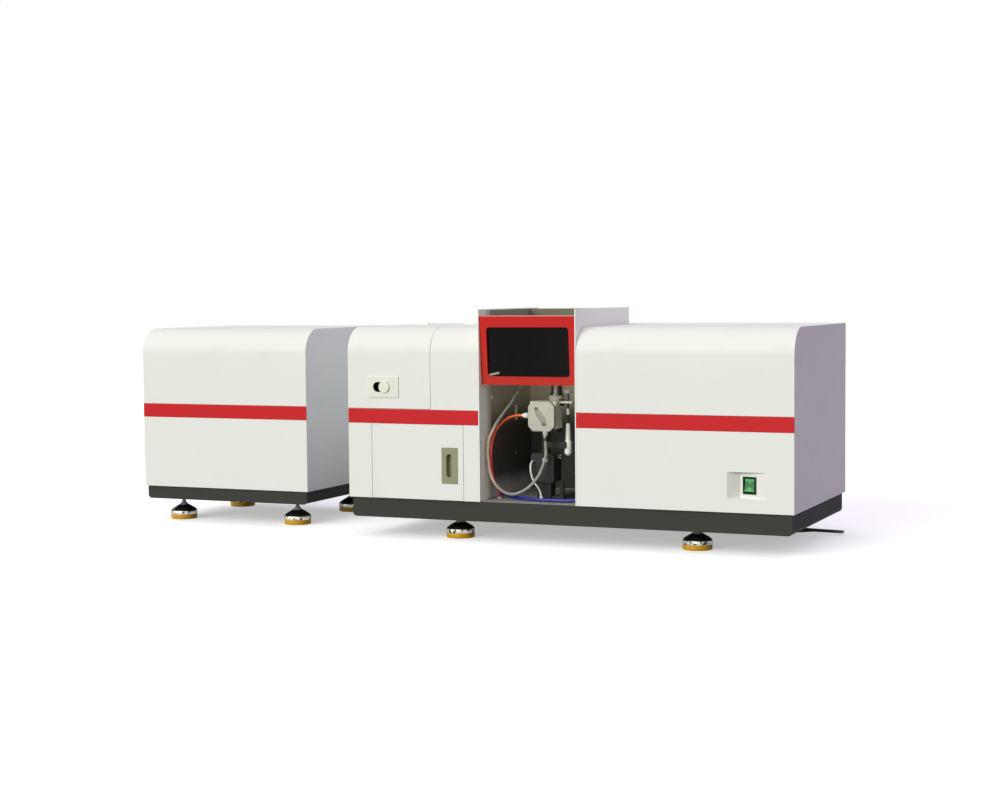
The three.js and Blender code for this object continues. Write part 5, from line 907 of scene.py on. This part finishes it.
def foot(node, centre, top):
    """Levelling foot, turned in one axis: amber pad, mottled band, black bell, grey cone and dark screw.

    The bell's radius is 11.5 + 19.3 * (1 - share^1.25) mm, where share is its height from 0 to 1.
    """
    pad = [(29.8, 0), (31, 0.5), (31.4, 1.6), (31.5, 11.2), (31.2, 11.9), (30.6, 12)]
    teeth, low = knurled(31.9, 0.6, 72, 288), knurled(31.5, 0.2, 72, 288)
    band = [(31.2, 11.8), (low, 12.1), (teeth, 12.6), (teeth, 19.4), (low, 19.9), (31, 20.1)]
    bell = [(30.6, 20), (31.2, 20.6), (31.1, 21.2)]
    bell += [(11.5 + 19.3 * (1 - share ** 1.25), 21.8 + 12.4 * share) for share in np.linspace(0, 1, 12)]
    cone = [(11, 34), (11, 34.8), (10.4, 35.4), (7.4, 37.6), (5.2, 41), (3.8, 45.4), (3.3, 47)]
    screw = thread(3.4, 46.5, top, 1.25, 0.4)
    return stand_in(node, turnings((*centre, 0), Z, (pad, 64, pad_amber), (band, 288, foot_band),
                                   (bell, 64, bell_black), (cone, 32, cone_grey), (screw, 24, dark_steel)))


for name, corner, lengthwise, back, top in (("foot", np.zeros(3), (240, 792), (75, 372), 52),
                                            ("power_foot", POWER_CORNER, (66, 386), (66, 334), 60)):
    for row, y in zip(("front", "rear"), back):
        for side, x in zip(("left", "right"), lengthwise):
            foot(f"{name}_{row}_{side}", corner[:2] + (x, y), top)


# Flame door and switch

softened("flame_door", door_red, 1.4, 3, others=[(lit_hood_coat, beyond(0, BAY_LEFT + 1, BAY_RIGHT - 1))])
softened("flame_door_glass", smoke, 0.5)
softened("switch_bezel", switch_black, 0.5)
softened("switch_rocker", green_light, 0.8, 3)


def painted_light_streak():
    """Dull strip on the glass in the lower left corner of the flame door's window: a painted streak of light.
    """
    lean = unit(np.array([0.978, 0, 0.208]))
    clip = plate(rounded(26, 4.6, 1.4), (351, 17.7, 368.4), lean, np.cross(lean, Y), 0, 1, 0.3)
    return piece("painted_light_streak", [(clip, bridge_olive)], BODY_OF["flame_door"])


painted_light_streak()


# Burner group

NECK, TRAP_AXIS = (437.5, 165, 0), (483, 118, 0)
FUEL_AXIS = np.array([0, 78, 275])


def nebuliser_block():
    """End block of the spray chamber: an eight-sided plate with softened corners, its olive bridge, two cap
    screws, two pips, the nebuliser's seat and the drain spigot.

    The bridge's half width is 6.8 * (1 - |share|^2.4) mm, where share runs from -1 to 1 along it.
    """
    wide, high, cut = 31.0, 33.0, 11.0
    octagon = [(wide, cut - high), (wide, high - cut), (wide - cut, high), (cut - wide, high),
               (-wide, high - cut), (-wide, cut - high), (cut - wide, -high), (wide - cut, -high)]
    share = np.linspace(-1, 1, 13)
    middle_line = np.outer(share * 25, unit(np.array([-30, 43.0])))
    half = np.outer(6.8 * (1 - np.abs(share) ** 2.4), unit(np.array([43.0, 30])))
    bridge = np.vstack([middle_line + half, (middle_line - half)[-2:0:-1]])
    shells = [(plate(filleted(octagon, 7), (437.5, 84, 274), X, Z, 0, 12, 1.6, 4), block_ivory),
              (plate(bridge, (436, 72.2, 273.5), X, Z, 0, 1.6, 0.5), bridge_olive)]
    spigot = [(6.2, -2), (6.2, 7.6), (5.6, 8.4), (5, 8.6), (5, 12)]
    hose_nut = [(4.2, 8), (hexagon(10.6), 11.6), (hexagon(10.6), 15.6), (3.9, 16.2), (4.4, 17), (3.8, 18.4),
                (4.4, 19.2), (3.8, 20.6), (4.2, 21.4), (2.4, 22)]
    shells += turnings((445.5, 78, 242), -Z, (spigot, 32, block_ivory), (hose_nut, 24, dark_steel))
    shells += turnings(406.5 * X + FUEL_AXIS, -X, ([(7.4, -1), (7.4, 1.2), (6.6, 2)], 32, block_ivory))
    for x, z in ((426.7, 290.7), (443.2, 257.4)):
        shells.append((hex_screw((x, 70.9, z), -Y, 3.5, 1.9), dark_steel))
    for x, z in ((415.8, 256.1), (455.7, 289.1)):
        shells += turnings((x, 72.1, z), -Y, ([(1.1, 0), (1.1, 0.5), (0.7, 0.7)], 16, dark_steel))
    return stand_in("nebuliser_block", shells)


def nebuliser():
    """Nebuliser: the knurled white nut that holds the fuel hose, and its body in the block."""
    grip = knurled(5.6, 0.35, 20, 120)
    nut = [(4, 0), (4.8, 0.6), (4.8, 3), (4.3, 3.5), (grip, 4), (grip, 12.6), (4.8, 13.4), (4, 13.6), (4, 26)]
    collar = [(3.5, 0), (4, 0.5), (4, 1.6), (3.2, 2)]
    return stand_in("nebuliser", turnings(392.3 * X + FUEL_AXIS, X, (nut, 120, white_plastic))
                    + turnings(390.9 * X + FUEL_AXIS, X, (collar, 40, nickel)))


def drain_trap():
    """Drain trap of white plastic: cup with a collar and a tip, tapered neck, and a dark tube in a sleeve."""
    cup = [(1.7, 185), (3.2, 186), (7.4, 189.4), (8.4, 191), (8.4, 215.4), (7.9, 216.8), (6.4, 217.6),
           (6, 222), (4.9, 254), (4.2, 256.6), (2.4, 257)]
    collar = [(8.7, 192.2), (8.7, 194), (8.4, 194.4)]
    tube = [(2.2, 256), (2.2, 300.4)]
    sleeve = [(2.4, 275.6), (3, 276.2), (3.1, 288), (2.6, 289)]
    return stand_in("drain_trap", turnings(TRAP_AXIS, Z, (cup, 32, lit_trap_white), (collar, 32, lit_trap_white),
                                           (tube, 20, black_plastic), (sleeve, 24, lit_trap_white)))


def clamp_knob():
    """Clamp knob: an ivory button with a domed top, 9 * cos t by 3 * sin t, on a dark stem."""
    button = [(7.6, 323), (8.8, 324), (9, 325.6)]
    button += [(9 * math.cos(t), 328 + 3 * math.sin(t)) for t in np.linspace(0, 1.5, 6)]
    stem = [(3, 301.4), (3, 323.4)]
    return stand_in("clamp_knob", turnings(TRAP_AXIS, Z, (button, 40, lit_knob_ivory), (stem, 24, dark_steel)))


def height_knob():
    """Knurled thumb wheel of the burner lift, on its shaft."""
    grip = knurled(5, 0.5, 28, 168)
    wheel = [(2.5, -6), (2.5, 0.4), (4.2, 0.5), (grip, 0.9), (grip, 4.6), (4.1, 5.1), (4.1, 6.2), (grip, 6.7),
             (grip, 10.6), (4, 11.3), (2, 11.4)]
    return stand_in("height_knob", turnings((459.5, 112, 183), X, (wheel, 168, dark_steel)))


def neck_flange():
    """Ivory flange round the burner's neck with its screws, and the dark nut on the chamber's ear."""
    flange = [(17, 306.6), (17.7, 307.2), (17.8, 314.3), (17.2, 315.1)]
    nut = [(hexagon(11), 295.6), (hexagon(11.6), 296.2), (hexagon(11.6), 309.2), (hexagon(10.6), 310)]
    shells = turnings(NECK, Z, (flange, 48, lit_knob_ivory))
    shells += turnings((470.4, 112, 0), Z, (nut, 24, black_plastic))
    for turn in (0.6, 2.4, 3.9, 5.5):
        screw = NECK + 14.9 * np.array([math.cos(turn), math.sin(turn), 0]) + 315.1 * Z
        shells.append((hex_screw(screw, Z, 1.7, 1.2), dark_steel))
    return piece("neck_flange", shells, BODY_OF["spray_chamber"])


def bay_fittings():
    """Screws and a clip on the bay's left wall, the sample tube's collar and a ring on the lift."""
    wall = BAY_LEFT + 4.3
    shells = [(pan_screw((wall, y, z), X, radius), finish) for y, z, radius, finish in (
        (62, 314, 4.6, latch_ivory), (197, 180, 3.8, zinc), (53, 179, 2.8, brass))]
    shells.append((plate(rounded(9, 34, 2), (wall, 196, 272.5), Y, Z, 0, 2.6, 0.5), lit_chamber_olive))
    collar = [(4.6, 91.2), (4.6, 94), (3.6, 95), (3.2, 97.4)]
    shells += turnings((434, 79, 0), Z, (collar, 32, white_plastic))
    shells.append((hoop((439, 89.3, 177), Y, 4.8, 1.4), zinc))
    return piece("bay_fittings", shells, BODY_OF["bay_liner"])


nebuliser_block()
nebuliser()
drain_trap()
clamp_knob()
height_knob()
neck_flange()
bay_fittings()
softened("spray_chamber", lit_chamber_olive, 1.2, 3)
softened("burner_head", head_steel, 0.8)
softened("lift_block", lift_grey, 1.2, 3)
softened("lift_post", lift_grey, 0.8)


# Rear fittings


def gas_inlet(centre):
    """Brass gas inlet: a hexagonal body and a tail with three barbs."""
    body = [(hexagon(15), 0), (hexagon(16), 0.6), (hexagon(16), 8.4), (hexagon(15), 9)]
    tail = [(4.4, 10), (3.4, 14), (4.4, 14.2), (3.4, 18), (4.4, 18.2), (3, 22), (2, 22.2)]
    return turnings(centre, Y, ([*body, *tail], 24, brass))


def fan_guard(centre):
    """Round guard: wire rings of growing radius on two crossed wires, over a black fan ring."""
    fan_ring = [(45, 0), (45.6, 0.5), (45.6, 1.6), (45, 2.2), (40, 2.2), (39.6, 0.7)]
    shells = turnings(centre, Y, (fan_ring, 64, black_plastic))
    shells += [(hoop(centre + 4 * Y, Y, radius, 0.9, 64), zinc) for radius in (12, 20, 28, 36, 44)]
    for lean in (math.pi / 4, 3 * math.pi / 4):
        along = np.array([math.cos(lean), 0, math.sin(lean)])
        wire = [(0.8, -45), (1, -44.6), (1, 44.6), (0.8, 45)]
        shells += turnings(centre + 3.1 * Y, along, (wire, 12, zinc))
    return shells


def connector(centre):
    """Data socket: a flanged shell of rounded outline with a screw on each side."""
    shells = [(plate(rounded(53, 16, 2), centre, -X, Z, 0, 1, 0.3), zinc),
              (plate(rounded(38, 10.4, 4), centre, -X, Z, 0.8, 6.4, 0.5), dark_steel),
              (plate(rounded(34, 6.8, 3), centre, -X, Z, 6, 6.8, 0.2), black_plastic)]
    screw = [(hexagon(7), 0.8), (hexagon(7), 5), (3, 5.4), (1.6, 5.4), (1.6, 2)]
    for side in (-23, 23):
        shells += turnings(centre + side * X, Y, (screw, 24, zinc))
    return shells


def rear_fittings():
    """What the main rear panel carries: cover screws, gas inlets, fan guard, data socket and fuse holder."""
    shells = [(pan_screw((x, REAR, z), Y, 3.4), zinc) for x in (14, 306, 562, 790, 1006) for z in (104, 456)]
    for x in (70, 110, 150):
        shells += gas_inlet((x, REAR, 150))
    shells += fan_guard(np.array([784, REAR, 392])) + connector(np.array([790, REAR, 122]))
    grip = knurled(7.4, 0.5, 24, 96)
    fuse_holder = [(8.6, 0), (9, 0.6), (9, 2.6), (grip, 3), (grip, 10.4), (6.2, 11)]
    shells += turnings((910, REAR, 122), Y, (fuse_holder, 96, black_plastic))
    return piece("rear_fittings", shells, "cabinets")


def power_rear_fittings():
    """What the power cabinet's rear panel carries: cover screws, gas inlets, two outlets and a fan guard."""
    left = POWER_CORNER[0]
    shells = [(pan_screw((left + x, POWER_REAR, z), Y, 3.4), zinc) for x in (14, 226, 438) for z in (98, 450)]
    for x in (60, 100):
        shells += gas_inlet((left + x, POWER_REAR, 130))
    outlet = [(15, 0), (15.6, 0.8), (15.6, 4), (12, 5), (10.4, 16), (8.4, 17)]
    for x in (300, 350):
        shells += turnings((left + x, POWER_REAR, 130), Y, (outlet, 40, black_plastic))
    shells += fan_guard(np.array([left + 226, POWER_REAR, 390]))
    return piece("power_rear_fittings", shells, "cabinets")


rear_fittings()
power_rear_fittings()


# Lamps and gas controls


def gauge(centre):
    """Pressure gauge facing the door: a bright rim, a white dial with nine marks and a black hand."""
    bezel = [(16, 0), (17, 1), (17, 9), (16.4, 10.4), (15.2, 10.4), (15, 9)]
    dial = [(15, 8.6), (15, 9.2)]
    hub = [(2, 9), (2, 10.4), (1.4, 10.8)]
    shells = turnings(centre, -Y, (bezel, 48, nickel), (dial, 48, dial_white), (hub, 20, black_plastic))

    def bar(outline, out, reach, height):
        base = centre - height * Y + reach * out
        shells.append((plate(outline, base, np.cross(Y, out), out, 0, 0.4, 0.1, 1), black_plastic))

    for turn in np.linspace(-2.2, 2.2, 9):
        bar(rounded(0.9, 3, 0.3, 2), np.array([math.sin(turn), 0, math.cos(turn)]), 11.6, 9.3)
    bar(rounded(1, 11, 0.4, 2), unit(np.array([-0.6, 0, 0.8])), 4, 9.8)
    return shells


def gas_controls():
    """Controls behind the gas door: a knurled knob on each regulator, a gauge above, and their pipes.

    A pipe is its centre line plus 3 * (cos a, sin a) in two directions square to it.
    """
    grip = knurled(14, 0.7, 30, 180)
    knob = [(9, -1), (9, 4), (grip, 4.6), (grip, 15.4), (13, 16.6), (6, 17)]
    bends = np.array([(-24, 158, 206), (-30, 150, 200), (-32, 148, 180), (-32, 148, 150), (-32, 150, 130),
                      (-32, 158, 124)])
    turn = angles(14)[None, :, None]
    shells = []
    for x, knob_finish in ((114.5, stripe_red), (224.5, air_tube)):
        shells += turnings((x, 130, 160), -Y, (knob, 180, knob_finish)) + gauge(np.array([x, 160, 206]))
        pipe = smooth_path(bends + x * X, 5)
        ahead = unit(np.gradient(pipe, axis=0))
        side = unit(np.cross(ahead, X))
        other = np.cross(ahead, side)
        rows = pipe[:, None] + 3 * (np.cos(turn) * side[:, None] + np.sin(turn) * other[:, None])
        shells.append((skin(rows), brass))
    return piece("gas_controls", shells, BODY_OF["gas_box"])


gas_controls()

softened("lamp_turret", alloy, 0.5)
softened("turret_stand", zinc, 0.5)
softened("lamp_lens_tube", black_plastic, 0.5)
softened("gas_box", alloy, 1.0)


def lamp(node):
    """Hollow cathode lamp: black base with its key, glass envelope, and the cathode on its rods inside."""
    low, high = ((np.array(corner) - CORNER) * 1000 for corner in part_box(node))
    start = (low[0], *(low + high)[1:] / 2)
    base = [(14.6, 0), (15.8, 0.8), (15.8, 8), (15.2, 8.6), (15.8, 9.2), (15.8, 25), (15.2, 28)]
    envelope = [(17, 28.4), (18.2, 30), (18.4, 34), (18.4, 106), (17.2, 111), (13.6, 117), (12, 122),
                (12, 151), (11.4, 153.4), (10, 153.9)]
    rods = [(10.5, 30), (10.5, 33), (5.4, 33.4), (5.4, 62)]
    cathode = [(9.4, 62.2), (9.4, 64.6), (6, 64.8), (6, 78), (4.4, 78), (4.4, 68)]
    return stand_in(node, turnings(start, X, (base, 40, black_plastic), (envelope, 48, glass),
                                   (rods, 32, nickel), (cathode, 32, steel)))


for number in (1, 2, 3, 4):
    lamp(f"lamp_{number}")


# Optics, electronics and transformers inside

softened("optical_bench", alloy, 1.0)
softened("monochromator", alloy, 1.5)
softened("detector", black_plastic, 1.0)
softened("circuit_board", solder_mask, 0.3)
softened("mains_transformer", core_steel, 0.8, others=[(winding, beyond(1, 239.9, 324.1))])
softened("furnace_transformer", core_steel, 1.2, others=[(winding, beyond(1, 193.9, 374.1))])


# Floor and light


def floor():
    """Pale floor: white to the camera, to gloss and through glass, mid grey where it lights the object."""
    half = 9
    corners = [(-half, -half, 0), (half, -half, 0), (half, half, 0), (-half, half, 0)]
    mesh = bpy.data.meshes.new("floor")
    mesh.from_pydata(corners, [], [(0, 1, 2, 3)])
    ground = shown("floor", mesh)
    finish = Finish("floor_white", {"Roughness": 0.9, "Specular IOR Level": 0.0, "Emission Strength": 0.42})
    finish.feed("Base Color", finish.mix(finish.noise(3, 4), screen(250, 250, 250), screen(255, 255, 255)))
    finish.shader.inputs["Emission Color"].default_value = (1, 1, 1, 1)
    dull = finish.node("ShaderNodeBsdfDiffuse", {}, {"Color": (0.15, 0.14, 0.165, 1)})
    seen = white_rays(finish)
    lit = Wire(finish, finish.shader.outputs[0])
    both = finish.node("ShaderNodeMixShader", {}, {0: seen, 1: dull, 2: lit})
    finish.tree.links.new(both.socket, finish.tree.nodes["Material Output"].inputs[0])
    mesh.materials.append(finish.material)


def white_rays(nodes):
    """1 for rays from the camera, off gloss and through glass."""
    camera, glossy, through = (nodes.node("ShaderNodeLightPath", {}, {}, f"Is {kind} Ray")
                               for kind in ("Camera", "Glossy", "Transmission"))
    return (camera + glossy + through) > 0.5


def studio_light():
    """One large soft lamp from the upper left front and a cool even room."""
    world = bpy.data.worlds.new("room")
    world.use_nodes = True
    bpy.context.scene.world = world
    room = Nodes(world.node_tree)
    ambient = room.node("ShaderNodeBackground", {}, {"Color": (0.58, 0.53, 0.63, 1), "Strength": 1.0})
    white = room.node("ShaderNodeBackground", {}, {"Color": (1, 1, 1, 1), "Strength": 1.0})
    both = room.node("ShaderNodeMixShader", {}, {0: white_rays(room), 1: ambient, 2: white})
    room.tree.links.new(both.socket, room.tree.nodes["World Output"].inputs[0])
    sun = bpy.data.lights.new("soft_lamp", "SUN")
    sun.energy, sun.angle, sun.color = 2.2, math.radians(40), (0.95, 1.0, 0.84)
    held = shown("soft_lamp", sun)
    toward = unit(np.array([-0.3, -0.88, 0.36]))
    side, other = across(toward)
    turn = np.eye(4)
    turn[:3, :3] = np.column_stack([side, other, toward])
    held.matrix_world = Matrix(turn.tolist())


floor()
studio_light()
bpy.context.scene.view_settings.view_transform = "Standard"
